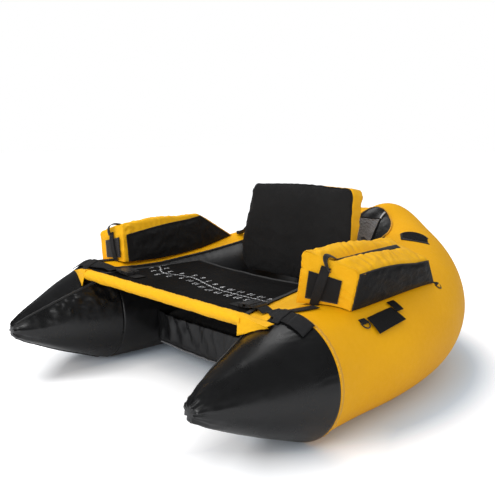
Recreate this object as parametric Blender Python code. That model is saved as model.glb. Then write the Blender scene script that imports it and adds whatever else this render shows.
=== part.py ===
"""An open-ended float tube: a U-shaped air hull, seat, backrest, lap apron and side pockets.

Units are metres and +Z is up. The open end with the two nose cones points along -Y and the
stern along +Y. The origin lies on the ground under the middle of the hull's length and width.
The right side is +X. A piece that exists on both sides is made by one function, which is given
the side as 1 or -1. Each moving piece has its origin on its joint's axis.
"""

import math

import bmesh
import bpy
from mathutils import Matrix, Vector

# Clearances shared by many pieces
SEAT_GAP = 0.0003
LAY_GAP = 0.0004
DRAPE_GAP = 0.0010
OVERRUN = 0.006

# Air hull
CONE_LENGTH = 0.303
STRAIGHT_LENGTH = 0.199
CURVE_DEPTH = 0.654
SEAM_HALF_SPACING = 0.433
BEND_HALF_SPACING = 0.418
SEAM_RADIUS = 0.161
BEND_RADIUS = 0.157
STERN_RADIUS = 0.221
STERN_LIFT = 0.020
GROUND_PRESS = 0.006
TIP_HALF_SPACING = 0.421
TIP_HEIGHT = 0.150
TIP_RADIUS = 0.015
COVER_THICKNESS = 0.002
CURVE_EXPONENT = 2.3
RADIUS_GROWTH = 1.25
LIFT_GROWTH = 4
CONE_SWELL = 0.8
RING_SIDES = 24
STRAIGHT_STEPS = 4
CURVE_STEPS = 14
OUTER_SEAM_STEP = -11
INNER_SEAM_STEP = 4
CONE_REACH_SHARES = (0, 0.07, 0.2, 0.38, 0.58, 0.8, 1)
STERN_PANEL_STEPS = 5
STERN_PANEL_TOP_STEP = 1
PANEL_THICKNESS = 0.0012
PANEL_GAP = 0.0022

# Air bladders inside the cover
BLADDER_CLEARANCE = 0.0045
BLADDER_WALL = 0.001
BLADDER_CONE_SHARES = (0.45, 0.7)
BLADDER_END_SHARE = 0.55
BLADDER_MIDDLE_GAP = 0.0008

# Valves and their zipped access flaps
FLAP_STATION = 1 + 8.2 / CURVE_STEPS
FLAP_ANGLE = math.radians(78)
FLAP_LENGTH = 0.130
FLAP_WIDTH = 0.040
FLAP_BOW = 0.012
FLAP_THICKNESS = 0.0012
FLAP_STEPS = 10
FLAP_OVERLAP = 0.005
FLAP_END_SHARE = 0.93
VALVE_RADIUS = 0.011
VALVE_BORE = 0.0065
VALVE_DEPTH = 0.016
VALVE_FLANGE_RADIUS = 0.0165
VALVE_FLANGE_THICKNESS = 0.0008
VALVE_FLANGE_GAP = 0.0024
VALVE_CAP_RADIUS = 0.010
VALVE_CAP_RIM = 0.0012
VALVE_CAP_PLUG_DEPTH = 0.007
TURN_SIDES = 16

# Seat
SEAT_FRONT_Y = -0.258
SEAT_LENGTH = 0.300
SEAT_SIDE_GAP = 0.0016
SEAT_BOTTOM = 0.064
SEAT_CORNER = 0.022
CUSHION_HEIGHT = 0.086
CUSHION_CROWN = 0.026
CUSHION_EDGE_SHARES = (0.0, 0.55, 0.85, 1.0)
SLING_THICKNESS = 0.0015
SLING_SAG = 0.008
SLING_HALFWAY_SHARE = 0.75
SLING_TOP = 0.166
SEAT_ROWS = 8
SEAT_PIPING_RADIUS = 0.0035

# Backrest
BACKREST_PIVOT_Y = 0.080
BACKREST_PIVOT_Z = 0.250
BACKREST_HEIGHT = 0.312
BACKREST_THICKNESS = 0.066
BACKREST_FOOT_THICKNESS = 0.034
BACKREST_FOOT_HALF_WIDTH = 0.216
BACKREST_HALF_WIDTH = 0.243
BACKREST_WIDEST_HEIGHT = 0.110
BACKREST_TOP_HALF_WIDTH = 0.222
BACKREST_LEAN = math.radians(11)
BACKREST_CROWN = 0.016
BACKREST_TOP_CORNER = 0.034
BACKREST_FOOT_CORNER = 0.040
BACKREST_SKIN = 0.0015
BACKREST_GUSSET_BOW = 0.004
BACKREST_RING_SHARES = (1, 0.93, 0.8, 0.6, 0.35)
CORNER_STEPS = 4
EDGE_STEPS = 4

# Lap apron and its stabilizer bar
BAR_AHEAD_OF_SEAM = 0.076
BAR_HEIGHT = 0.297
BAR_RADIUS = 0.0140
BAR_WALL = 0.0016
BAR_END_INSET = 0.002
SLEEVE_THICKNESS = 0.0014
APRON_LENGTH = 0.410
APRON_FRONT_INSET = 0.079
APRON_REAR_INSET = 0.118
APRON_THICKNESS = 0.0015
APRON_HEIGHT = 0.294
APRON_EDGE_LIFT = 0.0018
APRON_COLUMNS = 22
APRON_ROWS = 12
APRON_HINGE_MARGIN = 0.006
APRON_HINGE_HEIGHT = 0.303

# Side pockets
POCKET_FRONT_Y = -0.292
POCKET_LENGTH = 0.462
POCKET_INNER_INSET = 0.052
POCKET_OUTER_REACH = 0.088
POCKET_INNER_TOP_INSET = 0.042
POCKET_OUTER_TOP_REACH = 0.060
POCKET_INNER_TOP_Z = 0.446
POCKET_OUTER_TOP_Z = 0.398
POCKET_FLOOR_Z = 0.322
POCKET_INNER_FRONT_LEAN = 0.010
POCKET_OUTER_FRONT_LEAN = 0.070
POCKET_REAR_LEAN = 0.085
POCKET_WALL = 0.0018
POCKET_FOOT_GAP = 0.0020
POCKET_CROWN_SHARES = (0.92, 0.97, 0.995, 1.0, 1.0, 1.0, 0.985, 0.94, 0.83, 0.58)
POCKET_PLACE_SHARES = (0, 0.1, 0.22, 0.36, 0.5, 0.62, 0.73, 0.83, 0.92, 1)
POCKET_SIDE_STEPS = 3
POCKET_TOP_STEPS = 4
POCKET_CORNER = 0.018
POCKET_PANEL_THICKNESS = 0.0010

# Patch and strap on a pocket's front, and the zip along its top
PATCH_ACROSS_SHARES = (0.06, 0.86)
PATCH_HEIGHT_SHARES = (0.30, 0.78)
PATCH_GAP = 0.0006
PATCH_THICKNESS = 0.0012
PATCH_STEPS = 4
ROD_STRAP_WIDTH = 0.028
ROD_STRAP_ACROSS_SHARE = 0.46
ROD_STRAP_THICKNESS = 0.0014
ROD_STRAP_GAP = 0.0009
ROD_STRAP_TOP_SHARE = 0.84
ZIP_ACROSS_SHARES = (0.56, 0.70)
ZIP_FIRST_STEP = 1
ZIP_LAST_STEP = 7
ZIP_TAPE_THICKNESS = 0.0010
SLIDER_LENGTH = 0.014
SLIDER_WIDTH = 0.009
SLIDER_HEIGHT = 0.0045
SLIDER_GAP = 0.0006
SLIDER_BEVEL = 0.0012
SLIDER_STEP = 2
PULL_LENGTH = 0.026
PULL_WIDTH = 0.0055
PULL_THICKNESS = 0.0012

# D-rings under the pockets
RING_WIRE_RADIUS = 0.0018
RING_HALF_WIDTH = 0.0145
RING_DEPTH = 0.0165
RING_ARC_STEPS = 8
RING_TAB_WIDTH = 0.022
RING_TAB_THICKNESS = 0.0011
RING_TAB_TAIL = 0.014
RING_TAB_CLEARANCE = 0.0004
RING_TAB_LIFT = 0.0001
RING_TAB_SIDES = 12
RING_ANGLE = math.radians(50)
RING_PLACES = (("front", -0.205), ("rear", 0.206))

# Webbing and buckles of the apron
STRAP_WIDTH = 0.038
STRAP_THICKNESS = 0.0014
STRAP_BEHIND_SEAM = 0.024
STRAP_OUTER_REACH = 0.097
STRAP_STEPS = 11
STRAP_GAP = 0.0012
STRAP_LEDGE = 0.021
CROSS_STRAP_WIDTH = 0.026
CROSS_STRAP_INSET = 0.003
BUCKLE_SOCKET_LENGTH = 0.044
BUCKLE_WIDTH = 0.046
BUCKLE_HEIGHT = 0.011
BUCKLE_WALL = 0.0022
BUCKLE_SIDE_WALL = 0.0050
BUCKLE_CAVITY_DEPTH = 0.031
BUCKLE_WINDOW_START = 0.0115
BUCKLE_WINDOW_END = 0.0270
BUCKLE_SLOT_LENGTH = 0.0038
BUCKLE_SLOT_INSET = 0.0035
BUCKLE_BEVEL = 0.0012
BUCKLE_TILT = math.radians(5)
BUCKLE_MOUTH_INSET = 0.060
PLUG_THICKNESS = 0.0060
PLUG_BASE_LENGTH = 0.019
PLUG_PRONG_LENGTH = 0.0250
PLUG_PRONG_TAPER_SHARE = 0.7
PLUG_TONGUE_LENGTH = 0.0270
PLUG_TONGUE_HALF_WIDTH = 0.0035
PLUG_PRONG_INNER = 0.0115
PLUG_PRONG_OUTER = 0.0165
PLUG_BARB_OUTER = 0.0210
PLUG_BARB_BACK = 0.0145
BUCKLE_TAB_LENGTH = 0.062
BUCKLE_TAB_WIDTH = 0.038

# Yellow patches at the ends of the apron's sleeve
CORNER_FLAP_GAP = 0.004
CORNER_FLAP_WIDTH = 0.088
CORNER_FLAP_AHEAD_OF_BAR = 0.0125
CORNER_FLAP_BEHIND_BAR = 0.0435
CORNER_FLAP_TAPER_SHARE = 0.45
CORNER_FLAP_STEPS = 5
CORNER_FLAP_THICKNESS = 0.0012

# Straps that hold the backrest up
BACKREST_STRAP_WIDTH = 0.025
BACKREST_STRAP_UP_SHARE = 0.56
BACKREST_STRAP_THICKNESS = 0.0014
BACKREST_STRAP_HULL_INSETS = (0.080, 0.066, 0.052)
BACKREST_STRAP_HULL_Y = (0.176, 0.188, 0.200)

# Cargo net behind the backrest
NET_FRONT_Y = 0.188
NET_REAR_Y = 0.392
NET_HALF_WIDTH = 0.205
NET_FRONT_Z = 0.305
NET_REAR_Z = 0.430
NET_COLUMNS = 10
NET_ROWS = 7
NET_CORD_WIDTH = 0.0030
NET_THICKNESS = 0.0020
NET_GAP = 0.0065

# Derived places
UP = Vector((0, 0, 1))
HALF_LENGTH = (CONE_LENGTH + STRAIGHT_LENGTH + CURVE_DEPTH + STERN_RADIUS) / 2
TIP_Y = -HALF_LENGTH
SEAM_Y = TIP_Y + CONE_LENGTH
BEND_Y = SEAM_Y + STRAIGHT_LENGTH
STERN_STATION = 2
LAST_STATION = 4
RING_STEP = math.tau / RING_SIDES
BAR_Y = SEAM_Y - BAR_AHEAD_OF_SEAM
POCKET_INNER_X = BEND_HALF_SPACING - POCKET_INNER_INSET
POCKET_OUTER_X = BEND_HALF_SPACING + POCKET_OUTER_REACH
POCKET_INNER_TOP_X = BEND_HALF_SPACING - POCKET_INNER_TOP_INSET
POCKET_OUTER_TOP_X = BEND_HALF_SPACING + POCKET_OUTER_TOP_REACH
CROSS_STRAP_X = BEND_HALF_SPACING - CROSS_STRAP_INSET
STRAP_OUTER_X = SEAM_HALF_SPACING + STRAP_OUTER_REACH
APRON_FRONT_HALF_WIDTH = SEAM_HALF_SPACING - APRON_FRONT_INSET
APRON_REAR_HALF_WIDTH = BEND_HALF_SPACING - APRON_REAR_INSET
CORNER_FLAP_INNER_X = APRON_FRONT_HALF_WIDTH + CORNER_FLAP_GAP
CORNER_FLAP_OUTER_X = CORNER_FLAP_INNER_X + CORNER_FLAP_WIDTH
BUCKLE_MOUTH_X = APRON_FRONT_HALF_WIDTH - BUCKLE_MOUTH_INSET
CORNER_FLAP_FRONT_Y = BAR_Y - CORNER_FLAP_AHEAD_OF_BAR
CORNER_FLAP_REAR_Y = BAR_Y + CORNER_FLAP_BEHIND_BAR
BACKREST_STRAP_HULL_X = [BEND_HALF_SPACING - inset for inset in BACKREST_STRAP_HULL_INSETS]
BAR_HALF_LENGTH = APRON_FRONT_HALF_WIDTH - BAR_END_INSET
SHARP_ANGLE = math.radians(38)


def make_finish(name, colour, roughness, metallic=0):
    """Return a Principled material of one colour."""
    finish = bpy.data.materials.new(name)
    finish.use_nodes = True
    shader = finish.node_tree.nodes["Principled BSDF"]
    shader.inputs["Base Color"].default_value = (*colour, 1)
    shader.inputs["Roughness"].default_value = roughness
    shader.inputs["Metallic"].default_value = metallic
    finish.diffuse_color = (*colour, 1)
    return finish


def add_piece(name, form, finish, wall=0, pivot=None):
    """Turn a bmesh in world coordinates into a named object with its origin on the pivot."""
    mesh = bpy.data.meshes.new(name)
    if pivot is not None:
        bmesh.ops.translate(form, verts=form.verts, vec=-pivot)
    form.to_mesh(mesh)
    form.free()
    mesh.materials.append(finish)
    mesh.shade_smooth()
    mesh.set_sharp_from_angle(angle=SHARP_ANGLE)
    piece = bpy.data.objects.new(name, mesh)
    bpy.context.collection.objects.link(piece)
    if pivot is not None:
        piece.location = pivot
    if wall:
        skin = piece.modifiers.new("wall", "SOLIDIFY")
        skin.thickness = wall
        skin.offset = -1
        skin.use_even_offset = True
    return piece


def cut_piece(piece, cutter):
    """Subtract a hidden cutter from a piece."""
    cutter.hide_render = True
    cutter.display_type = "WIRE"
    cut = piece.modifiers.new("cut", "BOOLEAN")
    cut.operation = "DIFFERENCE"
    cut.solver = "EXACT"
    cut.object = cutter


def grid_form(rows, ring=False, loop=False, caps=False, facing=None):
    """Return a sheet of quads through rows of points; a ring closes each row, a loop the rows."""
    form = bmesh.new()
    lines = [[form.verts.new(point) for point in row] for row in rows]
    pairs = list(zip(lines, lines[1:]))
    if loop:
        pairs.append((lines[-1], lines[0]))
    count = len(lines[0])
    for line, following in pairs:
        for index in range(count if ring else count - 1):
            beside = (index + 1) % count
            form.faces.new((line[index], line[beside], following[beside], following[index]))
    if caps:
        form.faces.new(lines[0])
        form.faces.new(lines[-1])
    bmesh.ops.recalc_face_normals(form, faces=form.faces)
    form.faces.ensure_lookup_table()
    if facing is not None and form.faces[0].normal.dot(facing) < 0:
        bmesh.ops.reverse_faces(form, faces=form.faces)
    return form


def joined_form(grids):
    """Return one sheet made of several grids that share edges, facing up."""
    form = bmesh.new()
    for rows in grids:
        lines = [[form.verts.new(point) for point in row] for row in rows]
        for line, following in zip(lines, lines[1:]):
            for index in range(len(line) - 1):
                form.faces.new((line[index], line[index + 1], following[index + 1],
                                following[index]))
    bmesh.ops.remove_doubles(form, verts=form.verts, dist=SEAT_GAP)
    bmesh.ops.recalc_face_normals(form, faces=form.faces)
    if max(form.faces, key=lambda face: face.calc_center_median().z).normal.z < 0:
        bmesh.ops.reverse_faces(form, faces=form.faces)
    return form


def draped_form(lines, side, thickness, support=None):
    """Return a cloth that lies on the hull; each line is a row of ground-plan pairs across it."""
    rows = []
    for line in lines:
        faces = []
        for lift in (0, thickness):
            face = []
            for x, y in line:
                height = hull_height(x, y, STRAP_GAP + lift)
                if support is not None:
                    height = max(height, support(x, y) + LAY_GAP + lift)
                face.append(mirrored(Vector((x, y, height)), side))
            faces.append(face)
        rows.append(faces[0] + faces[1][::-1])
    return grid_form(rows, ring=True, caps=True)


def turned_form(profile, place, closed=False):
    """Spin a profile of radius and height pairs about the local Z axis of a place."""
    form = bmesh.new()
    line = [form.verts.new((radius, 0, height)) for radius, height in profile]
    edges = [form.edges.new(pair) for pair in zip(line, line[1:])]
    if closed:
        edges.append(form.edges.new((line[-1], line[0])))
    bmesh.ops.spin(form, geom=line + edges, axis=UP, cent=(0, 0, 0), angle=math.tau,
                   steps=TURN_SIDES, use_merge=True)
    bmesh.ops.remove_doubles(form, verts=form.verts, dist=SEAT_GAP / 100)
    bmesh.ops.recalc_face_normals(form, faces=form.faces)
    bmesh.ops.transform(form, matrix=place, verts=form.verts)
    return form


def block_form(size, place, bevel=0):
    """Return a box of the given size, centred on a place, with its edges bevelled."""
    form = bmesh.new()
    bmesh.ops.create_cube(form, size=1)
    bmesh.ops.scale(form, vec=size, verts=form.verts)
    if bevel:
        bmesh.ops.bevel(form, geom=list(form.edges), offset=bevel, segments=2, profile=0.5,
                        affect="EDGES")
    bmesh.ops.transform(form, matrix=place, verts=form.verts)
    return form


def outline_form(points, thickness, place):
    """Extrude a flat outline of local X and Y pairs from the place's plane along its Z axis."""
    form = bmesh.new()
    face = form.faces.new([form.verts.new((x, y, 0)) for x, y in points])
    raised = bmesh.ops.extrude_face_region(form, geom=[face])["geom"]
    tops = [item for item in raised if isinstance(item, bmesh.types.BMVert)]
    bmesh.ops.translate(form, verts=tops, vec=UP * thickness)
    bmesh.ops.recalc_face_normals(form, faces=form.faces)
    bmesh.ops.transform(form, matrix=place, verts=form.verts)
    return form


def ribbon_form(path, ups, width, across, thickness):
    """Return a strap of webbing whose underside follows a path."""
    rows = []
    for point, up in zip(path, ups):
        aside = across * (width / 2)
        rise = up * thickness
        rows.append([point - aside, point + aside, point + aside + rise, point - aside + rise])
    return grid_form(rows, ring=True, caps=True)


def wire_piece(name, points, radius, finish, pivot, closed=True):
    """Return a round wire through world points as a curve with a bevel."""
    curve = bpy.data.curves.new(name, "CURVE")
    curve.dimensions = "3D"
    curve.bevel_depth = radius
    curve.bevel_resolution = 1
    curve.use_fill_caps = not closed
    spline = curve.splines.new("POLY")
    spline.points.add(len(points) - 1)
    for knot, point in zip(spline.points, points):
        knot.co = (*(point - pivot), 1)
    spline.use_cyclic_u = closed
    spline.use_smooth = True
    curve.materials.append(finish)
    piece = bpy.data.objects.new(name, curve)
    piece.location = pivot
    bpy.context.collection.objects.link(piece)
    return piece


def place_at(point, along, up):
    """Return a matrix whose X runs along and whose Z is as near to up as that allows."""
    x_axis = along.normalized()
    y_axis = up.cross(x_axis).normalized()
    z_axis = x_axis.cross(y_axis)
    return Matrix.Translation(point) @ Matrix((x_axis, y_axis, z_axis)).transposed().to_4x4()


def mirrored(point, side):
    """Return a right-hand point on the given side."""
    return Vector((side * point.x, point.y, point.z))


def side_name(side):
    """Return the side's word in a piece's name."""
    return "right" if side > 0 else "left"


def hull_ring(station):
    """Return the centre, outward direction and radius of the tube at a station.

    Stations count along the right arm from 0 at the cone seam, through 1 at the bend and 2 at
    the middle of the stern, to 4 at the left cone seam.
    """
    side = 1 if station <= STERN_STATION else -1
    along = station if side > 0 else LAST_STATION - station
    if along <= 1:
        ease = (1 - along) ** 2
        x = BEND_HALF_SPACING + (SEAM_HALF_SPACING - BEND_HALF_SPACING) * ease
        y = SEAM_Y + STRAIGHT_LENGTH * along
        radius = BEND_RADIUS + (SEAM_RADIUS - BEND_RADIUS) * ease
        lift = 0
        outward = Vector((1, 0, 0))
    else:
        turn = min(along - 1, 1) * math.pi / 2
        power = 2 / CURVE_EXPONENT
        cosine = max(math.cos(turn), 0)
        x_share = cosine ** power if along < STERN_STATION else 0
        y_share = math.sin(turn) ** power
        x = BEND_HALF_SPACING * x_share
        y = BEND_Y + CURVE_DEPTH * y_share
        slope = CURVE_EXPONENT - 1
        outward = Vector((x_share ** slope / BEND_HALF_SPACING,
                          y_share ** slope / CURVE_DEPTH, 0)).normalized()
        radius = BEND_RADIUS + (STERN_RADIUS - BEND_RADIUS) * (along - 1) ** RADIUS_GROWTH
        lift = STERN_LIFT * math.sin(turn) ** LIFT_GROWTH
    centre = Vector((x, y, radius - GROUND_PRESS + lift))
    return mirrored(centre, side), mirrored(outward, side), radius


def ring_point(centre, outward, radius, angle, offset):
    """Return a point of a ring, pressed flat where it meets the ground."""
    point = centre + (outward * math.cos(angle) + UP * math.sin(angle)) * (radius + offset)
    point.z = max(point.z, -offset)
    return point


def hull_point(station, angle, offset=0):
    """Return a point on the hull; the angle runs from outward through up to inward."""
    centre, outward, radius = hull_ring(station)
    return ring_point(centre, outward, radius, angle, offset)


def cone_ring(side, reach):
    """Return the centre, outward direction and radius of a nose cone, from tip 0 to seam 1."""
    seam_centre = hull_ring(0)[0]
    tip = Vector((TIP_HALF_SPACING, TIP_Y, TIP_HEIGHT))
    centre = tip.lerp(seam_centre, reach)
    radius = TIP_RADIUS + (SEAM_RADIUS - TIP_RADIUS) * reach ** CONE_SWELL
    return mirrored(centre, side), Vector((side, 0, 0)), radius


def step_angle(step):
    """Return the angle of a step round the tube, counted from the top towards the inside."""
    return math.pi / 2 + step * RING_STEP


def hull_stations(gap):
    """Return the stations of the cover's rings from seam to seam, less a gap at each end."""
    half = [step / STRAIGHT_STEPS for step in range(STRAIGHT_STEPS)]
    half += [1 + step / CURVE_STEPS for step in range(CURVE_STEPS)]
    whole = half + [STERN_STATION] + [LAST_STATION - station for station in reversed(half)]
    whole[0] = gap / STRAIGHT_LENGTH
    whole[-1] = LAST_STATION - whole[0]
    return whole


def arm_station(x, y):
    """Return the right-hand station whose ring stands over a point on the ground plan."""
    point = Vector((abs(x), y, 0))
    low, high = 0, STERN_STATION
    for _ in range(40):
        middle = (low + high) / 2
        centre, outward, _ = hull_ring(middle)
        ahead = Vector((-outward.y, outward.x, 0)).dot(point - centre)
        if ahead > 0:
            low = middle
        else:
            high = middle
    return (low + high) / 2


def hull_height(x, y, offset=0):
    """Return the height over the ground plan of the tube's or cone's skin, or one outside it."""
    if y < SEAM_Y:
        centre, _, radius = cone_ring(1, max((y - TIP_Y) / CONE_LENGTH, 0))
        beside = abs(x) - centre.x
    else:
        centre, outward, radius = hull_ring(arm_station(x, y))
        beside = (Vector((abs(x), y, centre.z)) - centre).length
    return centre.z + math.sqrt(max((radius + offset) ** 2 - beside ** 2, 0))


def inner_reach(y):
    """Return how far from the middle the hull's inside flank lies at a place along it."""
    low, high = 0, STERN_STATION
    for _ in range(40):
        middle = (low + high) / 2
        centre, outward, radius = hull_ring(middle)
        flank = centre - outward * radius
        if flank.y < y:
            low = middle
        else:
            high = middle
    return flank.x


def surface_place(side, station, angle, offset):
    """Return a place on the hull: X sternwards, Y down the outside, Z out of the surface."""
    _, outward, _ = hull_ring(station)
    normal = outward * math.cos(angle) + UP * math.sin(angle)
    along = Vector((-outward.y, outward.x, 0))
    point = hull_point(station, angle, offset)
    return place_at(mirrored(point, side), mirrored(along, side), mirrored(normal, side))


def panel_form(first_step, last_step, stations, edge_gap, outer, inner):
    """Return a closed panel of the hull between two steps round the tube and two offsets."""
    rows = []
    for station in stations:
        radius = hull_ring(station)[2]
        angles = [step_angle(step) for step in range(first_step, last_step + 1)]
        angles[0] += edge_gap / radius
        angles[-1] -= edge_gap / radius
        outside = [hull_point(station, angle, outer) for angle in angles]
        inside = [hull_point(station, angle, inner) for angle in reversed(angles)]
        rows.append(outside + inside)
    return grid_form(rows, ring=True, caps=True)


def make_hull_cover(cloth, vinyl):
    """Make the sewn cover: the coloured outer shell and the dark panel inside and underneath."""
    half_gap = SEAT_GAP / 2
    stations = hull_stations(half_gap)
    outer = panel_form(OUTER_SEAM_STEP, INNER_SEAM_STEP, stations, half_gap, 0, -COVER_THICKNESS)
    under = panel_form(INNER_SEAM_STEP, OUTER_SEAM_STEP + RING_SIDES, stations, half_gap, 0,
                       -COVER_THICKNESS)
    add_piece("hull_under_panel", under, vinyl)
    return add_piece("hull_cover", outer, cloth)


def make_nose_cone(side, vinyl):
    """Make one nose cone, a cup that closes the hull's end."""
    reaches = list(CONE_REACH_SHARES)
    reaches[-1] = 1 - SEAT_GAP / 2 / CONE_LENGTH
    outer, inner = [], []
    for reach in reaches:
        ring = cone_ring(side, reach)
        for rows, offset in ((outer, 0), (inner, -COVER_THICKNESS)):
            rows.append([ring_point(*ring, step_angle(step), offset)
                         for step in range(RING_SIDES)])
    inner[0] = [point + Vector((0, COVER_THICKNESS, 0)) for point in inner[0]]
    form = grid_form(outer + inner[::-1], ring=True, caps=True)
    add_piece(f"nose_cone_{side_name(side)}", form, vinyl)


def bladder_stations():
    """Return every other station of the right arm, ending short of the middle of the stern."""
    stations = [0, 2 / STRAIGHT_STEPS]
    stations += [1 + step / CURVE_STEPS for step in range(0, CURVE_STEPS, 2)]
    gap_share = BLADDER_MIDDLE_GAP / CURVE_DEPTH
    return stations + [STERN_STATION - gap_share]


def bladder_ring_point(ring, step):
    """Return a point of the bladder, whose floor lies on the cover's floor."""
    centre, outward, radius = ring
    angle = step_angle(step)
    inner = radius - COVER_THICKNESS - BLADDER_CLEARANCE
    point = centre + (outward * math.cos(angle) + UP * math.sin(angle)) * inner
    point.z = max(point.z, COVER_THICKNESS + LAY_GAP)
    return point


def make_bladder(side, rubber):
    """Make one air bladder, from inside the nose cone to the middle of the stern."""
    rings = [cone_ring(1, share) for share in BLADDER_CONE_SHARES]
    rings += [hull_ring(station) for station in bladder_stations()]
    rows = []
    for ring in rings:
        points = [bladder_ring_point(ring, step) for step in range(0, RING_SIDES, 2)]
        rows.append([mirrored(point, side) for point in points])
    centre = mirrored(rings[0][0], side)
    shrunk = [centre.lerp(point, BLADDER_END_SHARE) for point in rows[0]]
    ahead = Vector((0, -SEAM_RADIUS * BLADDER_END_SHARE / 2, 0))
    rows.insert(0, [point + ahead for point in shrunk])
    form = grid_form(rows, ring=True, caps=True)
    return add_piece(f"air_bladder_{side_name(side)}", form, rubber, wall=BLADDER_WALL)


def valve_place(side):
    """Return the place of a valve: the middle of the bladder's facet under the flap."""
    step = 2 * math.floor((FLAP_ANGLE - math.pi / 2) / (2 * RING_STEP))
    curve_step = 2 * math.floor((FLAP_STATION - 1) * CURVE_STEPS / 2)
    corners = []
    for station_step in (curve_step, curve_step + 2):
        ring = hull_ring(1 + station_step / CURVE_STEPS)
        corners += [bladder_ring_point(ring, step), bladder_ring_point(ring, step + 2)]
    middle = sum(corners, Vector()) / 4
    along = corners[2] + corners[3] - corners[0] - corners[1]
    around = corners[1] + corners[3] - corners[0] - corners[2]
    normal = around.cross(along).normalized()
    if normal.z < 0:
        normal.negate()
    return place_at(mirrored(middle, side), mirrored(along, side), mirrored(normal, side))


def make_valve(side, bladder, hard_plastic):
    """Make a recessed valve through the bladder's wall, and its screw cap."""
    place = valve_place(side)
    hole = add_piece(f"valve_hole_cutter_{side_name(side)}",
                     turned_form(((0, OVERRUN), (VALVE_RADIUS + SEAT_GAP, OVERRUN),
                                  (VALVE_RADIUS + SEAT_GAP, -OVERRUN), (0, -OVERRUN)), place),
                     hard_plastic)
    cut_piece(bladder, hole)
    seat = VALVE_FLANGE_GAP
    top = seat + VALVE_FLANGE_THICKNESS
    body = ((VALVE_BORE, top), (VALVE_FLANGE_RADIUS, top), (VALVE_FLANGE_RADIUS, seat),
            (VALVE_RADIUS, seat), (VALVE_RADIUS, -VALVE_DEPTH), (VALVE_BORE, -VALVE_DEPTH))
    add_piece(f"valve_body_{side_name(side)}", turned_form(body, place, closed=True), hard_plastic)
    cap_foot = top + SEAT_GAP
    plug_radius = VALVE_BORE - SEAT_GAP
    cap = ((0, cap_foot + VALVE_CAP_RIM), (VALVE_CAP_RADIUS, cap_foot + VALVE_CAP_RIM),
           (VALVE_CAP_RADIUS, cap_foot), (plug_radius, cap_foot),
           (plug_radius, -VALVE_CAP_PLUG_DEPTH), (0, -VALVE_CAP_PLUG_DEPTH))
    add_piece(f"valve_cap_{side_name(side)}", turned_form(cap, place), hard_plastic,
              pivot=place.translation.copy())


def flap_point(side, along_share, across_share, offset, margin=0):
    """Return a point of the crescent over a valve; shares run -1 to 1 along, 0 to 1 across."""
    bow = 1 - along_share ** 2
    low = FLAP_BOW * bow - margin
    high = FLAP_BOW * bow + FLAP_WIDTH * math.sqrt(bow) + margin
    sternwards = low + (high - low) * across_share - (FLAP_BOW + FLAP_WIDTH) / 2
    around = (FLAP_LENGTH / 2 + margin) * along_share
    ahead, behind = hull_ring(FLAP_STATION + 1 / CURVE_STEPS), hull_ring(FLAP_STATION)
    station_length = (ahead[0] - behind[0]).length * CURVE_STEPS
    station = FLAP_STATION + sternwards / station_length
    angle = FLAP_ANGLE + around / hull_ring(station)[2]
    return mirrored(hull_point(station, angle, offset), side)


def flap_rows(side, offset, margin=0):
    """Return the rows of points of a crescent laid on the hull."""
    rows = []
    for step in range(FLAP_STEPS + 1):
        share = FLAP_END_SHARE * (2 * step / FLAP_STEPS - 1)
        rows.append([flap_point(side, share, across / 3, offset, margin) for across in range(4)])
    return rows


def make_valve_flap(side, cover, dark_cloth):
    """Cut the crescent-shaped opening in the cover and make the flap that closes it."""
    name = side_name(side)
    cutter = add_piece(f"flap_cutter_{name}", grid_form(flap_rows(side, OVERRUN), facing=UP),
                       dark_cloth, wall=2 * OVERRUN + COVER_THICKNESS)
    cut_piece(cover, cutter)
    hinge = (flap_point(side, -1, 0, DRAPE_GAP) + flap_point(side, 1, 0, DRAPE_GAP)) / 2
    rows = flap_rows(side, DRAPE_GAP + FLAP_THICKNESS, FLAP_OVERLAP)
    add_piece(f"valve_flap_{name}", grid_form(rows, facing=UP), dark_cloth, wall=FLAP_THICKNESS,
              pivot=hinge)


def make_stern_panel(dark_cloth):
    """Make the dark panel sewn over the inner slope of the stern."""
    stations = [STERN_STATION + step / CURVE_STEPS
                for step in range(-STERN_PANEL_STEPS, STERN_PANEL_STEPS + 1)]
    form = panel_form(STERN_PANEL_TOP_STEP, INNER_SEAM_STEP, stations, 0,
                      PANEL_GAP + PANEL_THICKNESS, PANEL_GAP)
    add_piece("stern_inner_panel", form, dark_cloth)


def seat_row(y, inset, drop, top):
    """Return the cross-section of the slung seat at a place along it, from left to right."""
    reach = inner_reach(y) - SEAT_SIDE_GAP - inset
    floor = SEAT_BOTTOM + drop
    right = [Vector((reach, y, top)), Vector((reach, y, (top + floor) / 2)),
             Vector((reach, y, floor + SEAT_CORNER)),
             Vector((reach - SEAT_CORNER / 3, y, floor + SEAT_CORNER / 3)),
             Vector((reach - SEAT_CORNER, y, floor)),
             Vector((reach / 2, y, floor - SLING_SAG * SLING_HALFWAY_SHARE))]
    middle = Vector((0, y, floor - SLING_SAG))
    return [mirrored(point, -1) for point in right] + [middle] + right[::-1]


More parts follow.
